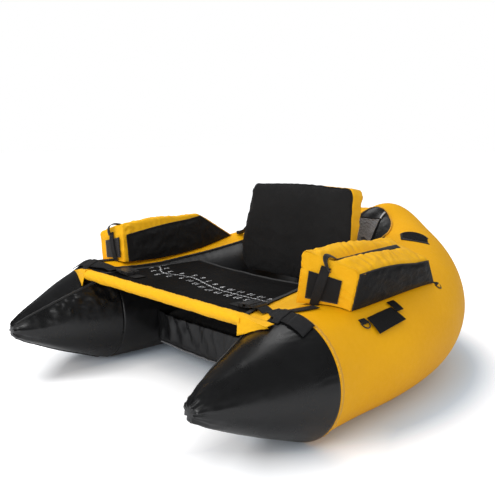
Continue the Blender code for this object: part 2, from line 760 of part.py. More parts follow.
def make_seat(dark_cloth, foam_cloth, trim):
    """Make the sling between the pontoons, the cushion in it and the piping along its front."""
    places = [SEAT_FRONT_Y + SEAT_LENGTH * row / SEAT_ROWS for row in range(SEAT_ROWS + 1)]
    rows = [seat_row(y, 0, 0, SLING_TOP) for y in places]
    add_piece("seat_sling", grid_form(rows, facing=Vector((-1, 0, 0))), dark_cloth,
              wall=SLING_THICKNESS)
    inset = SLING_THICKNESS + SEAT_GAP + LAY_GAP
    rows = []
    for row, y in enumerate(places):
        under = seat_row(y, inset, inset, SEAT_BOTTOM + CUSHION_HEIGHT)
        end = min(row, SEAT_ROWS - row)
        fullness = CUSHION_EDGE_SHARES[min(end, len(CUSHION_EDGE_SHARES) - 1)]
        top = []
        for point in reversed(under[1:-1]):
            across = point.x / under[-1].x
            crown = CUSHION_CROWN * (1 - across ** 4) * fullness
            top.append(Vector((point.x, y, SEAT_BOTTOM + CUSHION_HEIGHT + crown)))
        rows.append(under + top)
    add_piece("seat_cushion", grid_form(rows, ring=True, caps=True), foam_cloth)
    front = seat_row(SEAT_FRONT_Y, SEAT_PIPING_RADIUS, 0, SLING_TOP)
    ahead = Vector((0, -(SEAT_PIPING_RADIUS + SEAT_GAP), 0))
    wire_piece("seat_front_piping", [point + ahead for point in front], SEAT_PIPING_RADIUS, trim,
               front[len(front) // 2], closed=False)


def backrest_outline(inset):
    """Return the backrest's outline in its own plane, as X across and Z up, from the foot."""
    foot, top = BACKREST_FOOT_HALF_WIDTH - inset, BACKREST_TOP_HALF_WIDTH - inset
    corners = ((foot, inset, BACKREST_FOOT_CORNER), (top, BACKREST_HEIGHT - inset,
                                                     BACKREST_TOP_CORNER))
    right = []
    for (x, z, corner), turn in zip(corners, (-math.pi / 2, 0)):
        radius = corner - inset
        raised = radius if turn < 0 else -radius
        if turn == 0:
            right.append((BACKREST_HALF_WIDTH - inset, BACKREST_WIDEST_HEIGHT))
        for step in range(CORNER_STEPS + 1):
            angle = turn + step / CORNER_STEPS * math.pi / 2
            right.append((x - radius + radius * math.cos(angle),
                          z + raised + radius * math.sin(angle)))
    return right + [(-x, z) for x, z in reversed(right)]


def backrest_place():
    """Return the backrest's place: X across, Y through its thickness, Z up its face."""
    pivot = Vector((0, BACKREST_PIVOT_Y, BACKREST_PIVOT_Z))
    return Matrix.Translation(pivot) @ Matrix.Rotation(-BACKREST_LEAN, 4, "X")


def backrest_ring(share, inset, through, skin, crown):
    """Return one ring of the backrest, drawn in to a share of the outline and crowned.

    It lies at a share of the way through the thickness between two skins; the pad is thinner
    towards its foot.
    """
    place = backrest_place()
    middle = BACKREST_HEIGHT / 2
    points = []
    for x, z in backrest_outline(inset):
        up = middle + (z - middle) * share
        thickness = BACKREST_FOOT_THICKNESS
        thickness += (BACKREST_THICKNESS - BACKREST_FOOT_THICKNESS) * up / BACKREST_HEIGHT
        depth = skin + (thickness - 2 * skin) * through + crown * (1 - share ** 2)
        points.append(place @ Vector((x * share, depth, up)))
    return points


def backrest_reach(up):
    """Return half the backrest's width, over its gusset, at a height above its widest place."""
    share = (up - BACKREST_WIDEST_HEIGHT) / (BACKREST_HEIGHT - BACKREST_WIDEST_HEIGHT)
    drawn_in = (BACKREST_HALF_WIDTH - BACKREST_TOP_HALF_WIDTH) * share
    return BACKREST_HALF_WIDTH - drawn_in + BACKREST_GUSSET_BOW


def domed_form(through, crown, facing):
    """Return a crowned face of the backrest as an open sheet."""
    rows = [backrest_ring(share, 0, through, 0, crown) for share in BACKREST_RING_SHARES]
    form = grid_form(rows, ring=True)
    form.verts.ensure_lookup_table()
    form.faces.new(form.verts[-len(rows[-1]):])
    bmesh.ops.recalc_face_normals(form, faces=form.faces)
    form.faces.ensure_lookup_table()
    if form.faces[-1].normal.dot(facing) < 0:
        bmesh.ops.reverse_faces(form, faces=form.faces)
    return form


def make_backrest(cloth, dark_cloth, foam):
    """Make the backrest: dark front, coloured gusset and back, and the pad inside them."""
    pivot = Vector((0, BACKREST_PIVOT_Y, BACKREST_PIVOT_Z))
    ahead = Vector((0, -1, 0))
    add_piece("backrest_front", domed_form(0, -BACKREST_CROWN, ahead), dark_cloth,
              wall=BACKREST_SKIN, pivot=pivot)
    add_piece("backrest_back", domed_form(1, BACKREST_CROWN / 2, -ahead),
              cloth, wall=BACKREST_SKIN, pivot=pivot)
    rows = []
    for step in range(EDGE_STEPS + 1):
        share = step / EDGE_STEPS
        bow = BACKREST_GUSSET_BOW * math.sin(math.pi * share)
        rows.append(backrest_ring(1, -bow, share, BACKREST_SKIN + SEAT_GAP, 0))
    add_piece("backrest_gusset", grid_form(rows, ring=True, facing=-UP), cloth,
              wall=BACKREST_SKIN, pivot=pivot)
    inset = BACKREST_SKIN + LAY_GAP
    rows = [backrest_ring(share, inset, 0, inset, -BACKREST_CROWN)
            for share in reversed(BACKREST_RING_SHARES)]
    rows += [backrest_ring(share, inset, 1, inset, BACKREST_CROWN / 2)
             for share in BACKREST_RING_SHARES]
    add_piece("backrest_pad", grid_form(rows, ring=True, caps=True), foam, pivot=pivot)


def apron_hinge():
    """Return a point on the apron's hinge line and the line's direction towards the bow."""
    front = Vector((-APRON_FRONT_HALF_WIDTH - APRON_HINGE_MARGIN, BAR_Y, APRON_HINGE_HEIGHT))
    rear = Vector((-APRON_REAR_HALF_WIDTH - APRON_HINGE_MARGIN, BAR_Y + APRON_LENGTH,
                   APRON_HINGE_HEIGHT))
    return front, (front - rear).normalized()


def sleeve_radius():
    """Return the outer radius of the sleeve that the stabilizer bar lies in."""
    return BAR_RADIUS + LAY_GAP + SLEEVE_THICKNESS


def apron_reach(y):
    """Return half the apron's width at a place along it."""
    share = (y - BAR_Y) / APRON_LENGTH
    return APRON_FRONT_HALF_WIDTH + (APRON_REAR_HALF_WIDTH - APRON_FRONT_HALF_WIDTH) * share


def apron_height(x, y):
    """Return the height of the apron's top face, which drapes over the tubes' shoulders."""
    lift = DRAPE_GAP + APRON_EDGE_LIFT + APRON_THICKNESS
    return max(APRON_HEIGHT, hull_height(x, y, lift))


def make_apron(cloth, dark_cloth, metal):
    """Make the lap apron, the sleeve along its front and the stabilizer bar in the sleeve."""
    pivot, _ = apron_hinge()
    first = BAR_Y + sleeve_radius() + SEAT_GAP
    last = BAR_Y + APRON_LENGTH
    rows = []
    for row in range(APRON_ROWS + 1):
        y = first + (last - first) * row / APRON_ROWS
        reach = apron_reach(y)
        line = []
        for column in range(APRON_COLUMNS + 1):
            x = reach * (2 * column / APRON_COLUMNS - 1)
            line.append(Vector((x, y, apron_height(x, y))))
        rows.append(line)
    add_piece("apron", grid_form(rows, facing=UP), dark_cloth, wall=APRON_THICKNESS, pivot=pivot)
    middle = Vector((0, BAR_Y, BAR_HEIGHT))
    along = place_at(middle, UP, Vector((1, 0, 0)))
    half = BAR_HALF_LENGTH
    outer = sleeve_radius()
    sleeve = ((outer, -half), (outer, half), (outer - SLEEVE_THICKNESS, half),
              (outer - SLEEVE_THICKNESS, -half))
    add_piece("apron_sleeve", turned_form(sleeve, along, closed=True), cloth, pivot=pivot)
    inner = BAR_RADIUS - BAR_WALL
    tube = ((BAR_RADIUS, -half), (BAR_RADIUS, half), (inner, half), (inner, -half))
    add_piece("stabilizer_bar", turned_form(tube, along, closed=True), metal, pivot=pivot)


def pocket_bottom(share, x):
    """Return a point of the pocket's foot, just above the hull, at a place along and across."""
    y = POCKET_FRONT_Y + POCKET_LENGTH * share
    height = hull_height(x, y, POCKET_FOOT_GAP)
    crest = hull_height(BEND_HALF_SPACING, y, POCKET_FOOT_GAP)
    if x < BEND_HALF_SPACING:
        height = max(height, min(POCKET_FLOOR_Z, crest) - share * (crest - height))
    return Vector((x, y, height))


def pocket_face_point(share, foot_x, top, lean, height):
    """Return a point of a pocket's long face, at a share of the way up to its top edge."""
    foot = pocket_bottom(share, foot_x)
    shift = lean * (1 - share) - POCKET_REAR_LEAN * share
    return Vector((foot_x + (top.x - foot_x) * height, foot.y + shift * height,
                   foot.z + (top.z - foot.z) * height))


def rounded(before, corner, after, radius):
    """Return points round a corner between two straight lines."""
    first = corner + (before - corner).normalized() * radius
    last = corner + (after - corner).normalized() * radius
    points = []
    for step in range(CORNER_STEPS + 1):
        share = step / CORNER_STEPS
        points.append(first.lerp(corner, share).lerp(corner.lerp(last, share), share))
    return points


def pocket_arch(share, crown):
    """Return the pocket's outline at a place along it, from inner foot over the top to outer."""
    inner_top = Vector((POCKET_INNER_TOP_X, 0, POCKET_INNER_TOP_Z))
    outer_top = Vector((POCKET_OUTER_TOP_X, 0, POCKET_OUTER_TOP_Z))
    inner = [pocket_face_point(share, POCKET_INNER_X, inner_top, POCKET_INNER_FRONT_LEAN, height)
             for height in (0, crown)]
    outer = [pocket_face_point(share, POCKET_OUTER_X, outer_top, POCKET_OUTER_FRONT_LEAN, height)
             for height in (0, crown)]
    inner_corner = rounded(inner[0], inner[1], outer[1], POCKET_CORNER)
    outer_corner = rounded(inner[1], outer[1], outer[0], POCKET_CORNER)
    points = [inner[0].lerp(inner_corner[0], step / POCKET_SIDE_STEPS)
              for step in range(POCKET_SIDE_STEPS)]
    points += inner_corner
    points += [inner_corner[-1].lerp(outer_corner[0], step / POCKET_TOP_STEPS)
               for step in range(1, POCKET_TOP_STEPS)]
    points += outer_corner
    points += [outer_corner[-1].lerp(outer[0], step / POCKET_SIDE_STEPS)
               for step in range(1, POCKET_SIDE_STEPS + 1)]
    return points


def pocket_end_rows(share, arch):
    """Return the rows that close one end of the pocket, from the hull up to the arch's top."""
    top = arch[POCKET_SIDE_STEPS:-POCKET_SIDE_STEPS]
    last = len(top) - 1
    rows = [[arch[step].lerp(arch[-1 - step], i / last) for i in range(last + 1)]
            for step in range(1, POCKET_SIDE_STEPS + 1)]
    for point in rows[0][1:-1]:
        point.z = max(point.z, hull_height(point.x, point.y, 2 * POCKET_FOOT_GAP))
    feet = [pocket_bottom(share, POCKET_INNER_X + (POCKET_OUTER_X - POCKET_INNER_X) * i / last)
            for i in range(last + 1)]
    feet[0], feet[-1] = arch[0].copy(), arch[-1].copy()
    return [feet] + rows + [top]


def make_pocket(side, cloth, dark_cloth):
    """Make one side pocket: the coloured bag and the dark panel on its outer face."""
    name = side_name(side)
    arches = [pocket_arch(share, crown)
              for share, crown in zip(POCKET_PLACE_SHARES, POCKET_CROWN_SHARES)]
    parts = (arches, pocket_end_rows(0, arches[0]), pocket_end_rows(1, arches[-1]))
    form = joined_form([[mirrored(point, side) for point in row] for row in rows]
                       for rows in parts)
    add_piece(f"pocket_{name}", form, cloth, wall=POCKET_WALL)
    out = Vector((LAY_GAP + POCKET_PANEL_THICKNESS, 0, 0))
    rows = [[mirrored(point + out, side) for point in arch[-POCKET_SIDE_STEPS - 1:]]
            for arch in arches]
    form = grid_form(rows, facing=mirrored(out, side))
    add_piece(f"pocket_panel_{name}", form, dark_cloth, wall=POCKET_PANEL_THICKNESS)


def pocket_front_point(across_share, height_share, offset):
    """Return a point on or before the pocket's front face, by shares across and up it."""
    inner_top = Vector((POCKET_INNER_TOP_X, 0, POCKET_INNER_TOP_Z))
    outer_top = Vector((POCKET_OUTER_TOP_X, 0, POCKET_OUTER_TOP_Z))
    crown = POCKET_CROWN_SHARES[0]
    edges = []
    for height in (0, crown):
        inner = pocket_face_point(0, POCKET_INNER_X, inner_top, POCKET_INNER_FRONT_LEAN, height)
        outer = pocket_face_point(0, POCKET_OUTER_X, outer_top, POCKET_OUTER_FRONT_LEAN, height)
        edges.append((inner, outer))
    low = edges[0][0].lerp(edges[0][1], across_share)
    high = edges[1][0].lerp(edges[1][1], across_share)
    normal = (edges[0][1] - edges[0][0]).cross(high - low).normalized()
    return low.lerp(high, height_share) + normal * offset


def make_pocket_front(side, hook_cloth, webbing):
    """Make the hook-and-loop patch on a pocket's front and the rod strap across it."""
    name = side_name(side)
    shares = [step / PATCH_STEPS for step in range(PATCH_STEPS + 1)]
    rows = []
    for share in shares:
        across = PATCH_ACROSS_SHARES[0] + share * (PATCH_ACROSS_SHARES[1] - PATCH_ACROSS_SHARES[0])
        heights = [PATCH_HEIGHT_SHARES[0] + up * (PATCH_HEIGHT_SHARES[1] - PATCH_HEIGHT_SHARES[0])
                   for up in shares]
        front = [pocket_front_point(across, up, PATCH_GAP + PATCH_THICKNESS) for up in heights]
        back = [pocket_front_point(across, up, PATCH_GAP) for up in reversed(heights)]
        rows.append([mirrored(point, side) for point in front + back])
    add_piece(f"pocket_patch_{name}", grid_form(rows, ring=True, caps=True), hook_cloth)
    offset = PATCH_GAP + PATCH_THICKNESS + ROD_STRAP_GAP
    half_share = ROD_STRAP_WIDTH / (POCKET_OUTER_X - POCKET_INNER_X) / 2
    rows = []
    for share in shares:
        up = PATCH_HEIGHT_SHARES[0] / 2 + share * (ROD_STRAP_TOP_SHARE - PATCH_HEIGHT_SHARES[0] / 2)
        row = [pocket_front_point(ROD_STRAP_ACROSS_SHARE + half_share * way, up, offset + lift)
               for way, lift in ((-1, 0), (1, 0), (1, ROD_STRAP_THICKNESS),
                                 (-1, ROD_STRAP_THICKNESS))]
        rows.append([mirrored(point, side) for point in row])
    add_piece(f"rod_strap_{name}", grid_form(rows, ring=True, caps=True), webbing)


def pocket_top_point(place, across_share, lift):
    """Return a point above the pocket's top face at one of its places."""
    arch = pocket_arch(POCKET_PLACE_SHARES[place], POCKET_CROWN_SHARES[place])
    inner = arch[POCKET_SIDE_STEPS + CORNER_STEPS]
    outer = arch[POCKET_SIDE_STEPS + CORNER_STEPS + POCKET_TOP_STEPS]
    return inner.lerp(outer, across_share) + UP * lift


def make_pocket_zip(side, dark_cloth, hard_plastic):
    """Make the zip tape along a pocket's top, its slider and the slider's pull."""
    name = side_name(side)
    rows = []
    for place in range(ZIP_FIRST_STEP, ZIP_LAST_STEP + 1):
        row = [pocket_top_point(place, share, LAY_GAP + lift)
               for share, lift in ((ZIP_ACROSS_SHARES[0], 0), (ZIP_ACROSS_SHARES[1], 0),
                                   (ZIP_ACROSS_SHARES[1], ZIP_TAPE_THICKNESS),
                                   (ZIP_ACROSS_SHARES[0], ZIP_TAPE_THICKNESS))]
        rows.append([mirrored(point, side) for point in row])
    add_piece(f"pocket_zip_tape_{name}", grid_form(rows, ring=True, caps=True), dark_cloth)
    middle_share = sum(ZIP_ACROSS_SHARES) / 2
    lift = LAY_GAP + ZIP_TAPE_THICKNESS + SLIDER_GAP + SLIDER_HEIGHT / 2
    here = pocket_top_point(SLIDER_STEP, middle_share, lift)
    ahead = pocket_top_point(SLIDER_STEP + 1, middle_share, lift)
    inner = pocket_top_point(SLIDER_STEP, 0, lift)
    up = (ahead - here).cross(inner - here).normalized()
    place = place_at(mirrored(here, side), mirrored(ahead - here, side), mirrored(up, side))
    size = (SLIDER_LENGTH, SLIDER_WIDTH, SLIDER_HEIGHT)
    add_piece(f"pocket_zip_slider_{name}", block_form(size, place, SLIDER_BEVEL),
              hard_plastic, pivot=place.translation.copy())
    pivot_height = SLIDER_HEIGHT / 2 + SEAT_GAP + PULL_THICKNESS / 2
    pivot = place @ Vector((0, 0, pivot_height))
    centre = Matrix.Translation(((PULL_THICKNESS - PULL_LENGTH) / 2, 0, pivot_height))
    pull = block_form((PULL_LENGTH, PULL_WIDTH, PULL_THICKNESS), place @ centre)
    add_piece(f"pocket_zip_pull_{name}", pull, hard_plastic, pivot=pivot)


def ring_station(y):
    """Return the right-hand station whose ring carries a D-ring at a place along the hull."""
    _, outward, radius = hull_ring(arm_station(BEND_HALF_SPACING, y))
    return arm_station(BEND_HALF_SPACING + radius * math.cos(RING_ANGLE), y)


def make_d_ring(side, end, y, webbing, hard_plastic):
    """Make a webbing loop sewn under the pocket's edge and the D-ring that swings in it."""
    name = f"{end}_{side_name(side)}"
    inner_radius = RING_WIRE_RADIUS + RING_TAB_CLEARANCE
    outer_radius = inner_radius + RING_TAB_THICKNESS
    place = surface_place(side, ring_station(y), RING_ANGLE, RING_TAB_LIFT + outer_radius)
    down = 1 if (place.to_3x3() @ Vector((0, 1, 0))).z < 0 else -1
    rows = []
    for step in range(RING_TAB_SIDES):
        angle = math.pi * (2 * step + 1) / RING_TAB_SIDES
        across, rise = math.cos(angle), math.sin(angle)
        inner = (down * across * inner_radius, rise * inner_radius)
        outer = (down * across * outer_radius, rise * outer_radius)
        tail = {RING_TAB_SIDES // 2 - 1: 2 * RING_TAB_THICKNESS - outer_radius,
                RING_TAB_SIDES // 2: -outer_radius}
        if step in tail:
            outer = (-down * RING_TAB_TAIL, tail[step])
        if step == RING_TAB_SIDES // 2 + 2:
            outer = (outer[0], -outer_radius)
        half = RING_TAB_WIDTH / 2
        row = [Vector((way, *point)) for way, point in
               ((-half, outer), (half, outer), (half, inner), (-half, inner))]
        rows.append([place @ point for point in row])
    add_piece(f"ring_tab_{name}", grid_form(rows, ring=True, loop=True), webbing)
    points = [Vector((-RING_HALF_WIDTH / 2, 0, 0))]
    for step in range(RING_ARC_STEPS + 1):
        angle = math.pi * step / RING_ARC_STEPS
        points.append(Vector((RING_HALF_WIDTH * math.cos(angle),
                              down * RING_DEPTH * math.sin(angle), 0)))
    points.append(points.pop(0) / 2)
    wire_piece(f"d_ring_{name}", [place @ point for point in points], RING_WIRE_RADIUS,
               hard_plastic, place.translation.copy())


def strap_y():
    """Return where along the hull the apron's straps run across it."""
    return SEAM_Y + STRAP_BEHIND_SEAM


def apron_edge(x, y):
    """Return the height of the apron's top face as far as a strap needs to clear its edge."""
    return apron_height(x, y) if x < apron_reach(y) + STRAP_LEDGE else 0


def make_hull_strap(side, webbing):
    """Make the strap sewn over the hull behind the cone seam, and the one from the pocket."""
    name = side_name(side)
    edges = [strap_y() + way * STRAP_WIDTH / 2 for way in (-1, 0, 1)]
    inner = BUCKLE_MOUTH_X + PLUG_BASE_LENGTH - BUCKLE_SLOT_INSET
    lines = []
    for step in range(STRAP_STEPS + 1):
        x = inner + (STRAP_OUTER_X - inner) * step / STRAP_STEPS
        lines.append([(x, y) for y in edges])
    add_piece(f"apron_strap_{name}", draped_form(lines, side, STRAP_THICKNESS, apron_edge),
              webbing)
    first = POCKET_FRONT_Y - LAY_GAP
    last = edges[-1] + LAY_GAP
    lines = [[(CROSS_STRAP_X + way * CROSS_STRAP_WIDTH / 2, y) for way in (-1, 0, 1)]
             for y in (first, (first + last) / 2, last)]
    add_piece(f"pocket_strap_{name}", draped_form(lines, side, STRAP_THICKNESS), webbing)


def buckle_place(side):
    """Return a buckle's place: the middle of its socket's mouth, X towards the outside."""
    rise = APRON_HEIGHT + LAY_GAP + STRAP_THICKNESS + LAY_GAP
    rise += BUCKLE_SOCKET_LENGTH * math.sin(BUCKLE_TILT)
    along = Vector((side * math.cos(BUCKLE_TILT), 0, math.sin(BUCKLE_TILT)))
    up = Vector((-side * math.sin(BUCKLE_TILT), 0, math.cos(BUCKLE_TILT)))
    return place_at(Vector((side * BUCKLE_MOUTH_X, strap_y(), rise)), along, up)


def moved(place, x, y, z):
    """Return a place moved in its own directions."""
    return place @ Matrix.Translation((x, y, z))


def make_buckle(side, webbing, hard_plastic):
    """Make one side-release buckle: the socket on the apron and the plug on the hull's strap."""
    name = side_name(side)
    place = buckle_place(side)
    pivot, _ = apron_hinge()
    middle = BUCKLE_HEIGHT / 2
    size = (BUCKLE_SOCKET_LENGTH, BUCKLE_WIDTH, BUCKLE_HEIGHT)
    body_place = moved(place, -BUCKLE_SOCKET_LENGTH / 2, 0, middle)
    socket = add_piece(f"buckle_socket_{name}", block_form(size, body_place, BUCKLE_BEVEL),
                       hard_plastic, pivot=pivot)
    inside = BUCKLE_HEIGHT - 2 * BUCKLE_WALL
    window_length = BUCKLE_WINDOW_END - BUCKLE_WINDOW_START
    slot_width = BUCKLE_WIDTH - BUCKLE_SIDE_WALL
    cuts = (("cavity", (BUCKLE_CAVITY_DEPTH + OVERRUN, BUCKLE_WIDTH - 2 * BUCKLE_SIDE_WALL, inside),
             (OVERRUN - BUCKLE_CAVITY_DEPTH) / 2),
            ("window", (window_length, BUCKLE_WIDTH + OVERRUN, inside),
             -(BUCKLE_WINDOW_START + BUCKLE_WINDOW_END) / 2),
            ("slot", (BUCKLE_SLOT_LENGTH, slot_width, BUCKLE_HEIGHT + OVERRUN),
             -BUCKLE_SOCKET_LENGTH + BUCKLE_SLOT_INSET + BUCKLE_SLOT_LENGTH / 2))
    for cut_name, cut_size, cut_x in cuts:
        form = block_form(cut_size, moved(place, cut_x, 0, middle))
        cut_piece(socket, add_piece(f"buckle_{cut_name}_cutter_{name}", form, hard_plastic))
    half = [(-PLUG_TONGUE_LENGTH, PLUG_TONGUE_HALF_WIDTH), (0, PLUG_TONGUE_HALF_WIDTH),
            (0, PLUG_PRONG_INNER), (-PLUG_PRONG_LENGTH * PLUG_PRONG_TAPER_SHARE, PLUG_PRONG_INNER),
            (-PLUG_PRONG_LENGTH, PLUG_PRONG_OUTER - BUCKLE_WALL),
            (-PLUG_PRONG_LENGTH, PLUG_PRONG_OUTER), (-PLUG_BARB_BACK - BUCKLE_WALL,
                                                     PLUG_BARB_OUTER),
            (-PLUG_BARB_BACK, PLUG_BARB_OUTER), (-PLUG_BARB_BACK, PLUG_PRONG_OUTER),
            (SEAT_GAP, PLUG_PRONG_OUTER), (SEAT_GAP, BUCKLE_WIDTH / 2 - BUCKLE_BEVEL),
            (PLUG_BASE_LENGTH, BUCKLE_WIDTH / 2 - BUCKLE_BEVEL)]
    outline = half + [(x, -y) for x, y in reversed(half)]
    lower = moved(place, 0, 0, middle - PLUG_THICKNESS / 2)
    plug = add_piece(f"buckle_plug_{name}", outline_form(outline, PLUG_THICKNESS, lower),
                     hard_plastic, pivot=place.translation.copy())
    slot_place = moved(place, PLUG_BASE_LENGTH - BUCKLE_SLOT_INSET - BUCKLE_SLOT_LENGTH / 2, 0,
                       middle)
    slot = block_form((BUCKLE_SLOT_LENGTH, slot_width, BUCKLE_HEIGHT), slot_place)
    cut_piece(plug, add_piece(f"plug_slot_cutter_{name}", slot, hard_plastic))
    tab_end = BUCKLE_MOUTH_X - BUCKLE_SOCKET_LENGTH / 2
    path = [Vector((side * x, strap_y(), APRON_HEIGHT + LAY_GAP))
            for x in (tab_end - BUCKLE_TAB_LENGTH, tab_end)]
    tab = ribbon_form(path, [UP, UP], BUCKLE_TAB_WIDTH, Vector((0, 1, 0)), STRAP_THICKNESS)
    add_piece(f"buckle_tab_{name}", tab, webbing, pivot=pivot)


def make_corner_flap(side, cloth):
    """Make the coloured patch that lies on the cone beyond the end of the apron's sleeve."""
    lines = []
    for step in range(CORNER_FLAP_STEPS + 1):
        share = step / CORNER_FLAP_STEPS
        x = CORNER_FLAP_INNER_X + (CORNER_FLAP_OUTER_X - CORNER_FLAP_INNER_X) * share
        drawn_in = (CORNER_FLAP_REAR_Y - CORNER_FLAP_FRONT_Y) * CORNER_FLAP_TAPER_SHARE * share
        front = CORNER_FLAP_FRONT_Y + drawn_in
        lines.append([(x, front), (x, (front + CORNER_FLAP_REAR_Y) / 2), (x, CORNER_FLAP_REAR_Y)])
    add_piece(f"corner_flap_{side_name(side)}",
              draped_form(lines, side, CORNER_FLAP_THICKNESS), cloth)


def make_backrest_strap(side, webbing):
    """Make the strap from the backrest's side down to the hull."""
    up = BACKREST_HEIGHT * BACKREST_STRAP_UP_SHARE
    start = backrest_place() @ Vector((backrest_reach(up) - SEAT_GAP,
                                       BACKREST_FOOT_THICKNESS, up))
    foot = Vector((BACKREST_STRAP_HULL_X[0], BACKREST_STRAP_HULL_Y[0], 0))
    run = Vector((foot.x - start.x, foot.y - start.y, 0))
    across = Vector((-run.y, run.x, 0)).normalized() * (BACKREST_STRAP_WIDTH / 2)
    points = [start]
    for x, y in zip(BACKREST_STRAP_HULL_X, BACKREST_STRAP_HULL_Y):
        height = max(hull_height(x + way * across.x, y + way * across.y, STRAP_GAP)
                     for way in (-1, 0, 1))
        points.append(Vector((x, y, height)))
    points.insert(1, points[0].lerp(points[1], 0.5))
    rise = Vector((0, 0, BACKREST_STRAP_THICKNESS))
    rows = [[mirrored(corner, side) for corner in
             (point - across, point + across, point + across + rise, point - across + rise)]
            for point in points]
    add_piece(f"backrest_strap_{side_name(side)}", grid_form(rows, ring=True, caps=True), webbing)


def make_cargo_net(cord):
    """Make the net that slopes from behind the seat up onto the stern."""
    rows = []
    for row in range(NET_ROWS + 1):
        share = row / NET_ROWS
        y = NET_FRONT_Y + (NET_REAR_Y - NET_FRONT_Y) * share
        plane = NET_FRONT_Z + (NET_REAR_Z - NET_FRONT_Z) * share
        line = []
        for column in range(NET_COLUMNS + 1):
            x = NET_HALF_WIDTH * (2 * column / NET_COLUMNS - 1)
            line.append(Vector((x, y, max(plane, hull_height(x, y, NET_GAP)))))
        rows.append(line)
    form = grid_form(rows, facing=UP)
    meshes = bmesh.ops.inset_individual(form, faces=list(form.faces),
                                        thickness=NET_CORD_WIDTH / 2)["faces"]
    rims = set(meshes)
    gaps = [face for face in form.faces if face not in rims]
    bmesh.ops.delete(form, geom=gaps, context="FACES_ONLY")
    add_piece("cargo_net", form, cord, wall=NET_THICKNESS)


def clear_scene():
    """Remove every object that is in the scene."""
    for item in list(bpy.data.objects):
        bpy.data.objects.remove(item)


def build():
    """Model the whole float tube."""
    clear_scene()
    cloth = make_finish("yellow_cloth", (0.86, 0.52, 0.02), 0.6)
    dark_cloth = make_finish("black_cloth", (0.02, 0.02, 0.022), 0.8)
    vinyl = make_finish("black_vinyl", (0.02, 0.02, 0.022), 0.35)
    rubber = make_finish("bladder_film", (0.35, 0.38, 0.4), 0.3)
    hard_plastic = make_finish("black_plastic", (0.03, 0.03, 0.03), 0.4)
    foam = make_finish("pad_foam", (0.75, 0.74, 0.7), 0.9)
    trim = make_finish("grey_trim", (0.25, 0.25, 0.26), 0.6)
    metal = make_finish("aluminium_tube", (0.7, 0.71, 0.72), 0.3, 1)
    hook_cloth = make_finish("hook_and_loop", (0.015, 0.015, 0.016), 0.95)
    webbing = make_finish("grey_black_webbing", (0.05, 0.05, 0.055), 0.7)
    net_cord = make_finish("grey_net_cord", (0.5, 0.5, 0.52), 0.8)
    cover = make_hull_cover(cloth, vinyl)
    for side in (1, -1):
        make_nose_cone(side, vinyl)
        bladder = make_bladder(side, rubber)
        make_valve(side, bladder, hard_plastic)
        make_valve_flap(side, cover, dark_cloth)
        make_pocket(side, cloth, dark_cloth)
        make_pocket_front(side, hook_cloth, webbing)
        make_pocket_zip(side, dark_cloth, hard_plastic)
        for end, y in RING_PLACES:
            make_d_ring(side, end, y, webbing, hard_plastic)
        make_hull_strap(side, webbing)
        make_buckle(side, webbing, hard_plastic)
        make_corner_flap(side, cloth)
        make_backrest_strap(side, webbing)
    make_stern_panel(dark_cloth)
    make_cargo_net(net_cord)
    make_seat(dark_cloth, dark_cloth, trim)
    make_backrest(cloth, dark_cloth, foam)
    make_apron(cloth, dark_cloth, metal)


if __name__ == "__main__":
    build()
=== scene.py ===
"""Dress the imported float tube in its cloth, vinyl, webbing and fittings, and light it.

Lengths are metres and +Z is up. The open bow points along -Y and the right-hand side is +X.
Each sub-assembly is a class: its sizes are fields, and its methods build and dress its pieces.
"""

from __future__ import annotations

import logging
import math
from bisect import bisect_right
from dataclasses import dataclass, field
from enum import Enum
from typing import Callable, NamedTuple, Sequence

import bmesh
import bpy
from mathutils import Matrix, Vector, noise

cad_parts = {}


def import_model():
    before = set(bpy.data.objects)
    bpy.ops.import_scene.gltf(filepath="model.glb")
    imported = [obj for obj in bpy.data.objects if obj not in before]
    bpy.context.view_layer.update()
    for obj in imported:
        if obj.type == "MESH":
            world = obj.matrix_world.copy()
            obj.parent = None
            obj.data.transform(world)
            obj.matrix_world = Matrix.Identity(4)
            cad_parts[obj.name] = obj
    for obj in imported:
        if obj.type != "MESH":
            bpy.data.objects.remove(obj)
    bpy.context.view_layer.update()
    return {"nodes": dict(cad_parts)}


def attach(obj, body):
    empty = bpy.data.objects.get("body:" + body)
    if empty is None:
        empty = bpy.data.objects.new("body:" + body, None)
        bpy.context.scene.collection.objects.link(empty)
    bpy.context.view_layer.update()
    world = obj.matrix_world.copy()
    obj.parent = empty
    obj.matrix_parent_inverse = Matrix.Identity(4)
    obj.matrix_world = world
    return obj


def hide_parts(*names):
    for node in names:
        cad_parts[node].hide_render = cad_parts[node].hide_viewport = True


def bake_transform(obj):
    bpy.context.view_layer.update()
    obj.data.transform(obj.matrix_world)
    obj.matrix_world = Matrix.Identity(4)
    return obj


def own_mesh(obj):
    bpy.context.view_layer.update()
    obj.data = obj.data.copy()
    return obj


LOG = logging.getLogger("float_tube")
UP = Vector((0, 0, 1))
CLOTH_MAP = "cloth"
HULL = "float_hull"
Colour = tuple[float, float, float]
Pair = tuple[float, float]
Place = Callable[[float, float], Vector]
Form = bmesh.types.BMesh
Socket = bpy.types.NodeSocket
Thing = bpy.types.Object


class Side(Enum):
    """A side of the tube, as the sign of its X."""

    LEFT = -1
    RIGHT = 1

    @property
    def word(self) -> str:
        """Return the side's word in a piece's name."""
        return self.name.lower()

    def of(self, point: Vector) -> Vector:
        """Return a right-hand point carried to this side."""
        return Vector((point.x * self.value, point.y, point.z))


class Weave(Enum):
    """How threads cross on a cloth's surface."""

    PLAIN = "plain"
    RIBBED = "ribbed"
    LOOPED = "looped"
    COATED = "coated"


class Finish(NamedTuple):
    """A made material and the record's slot that it belongs to."""

    material: bpy.types.Material
    slot: str


class Gathers(NamedTuple):
    """Gathers beside a seam: the length of one, their height there and how far they reach."""

    wave: float
    depth: float
    reach: float


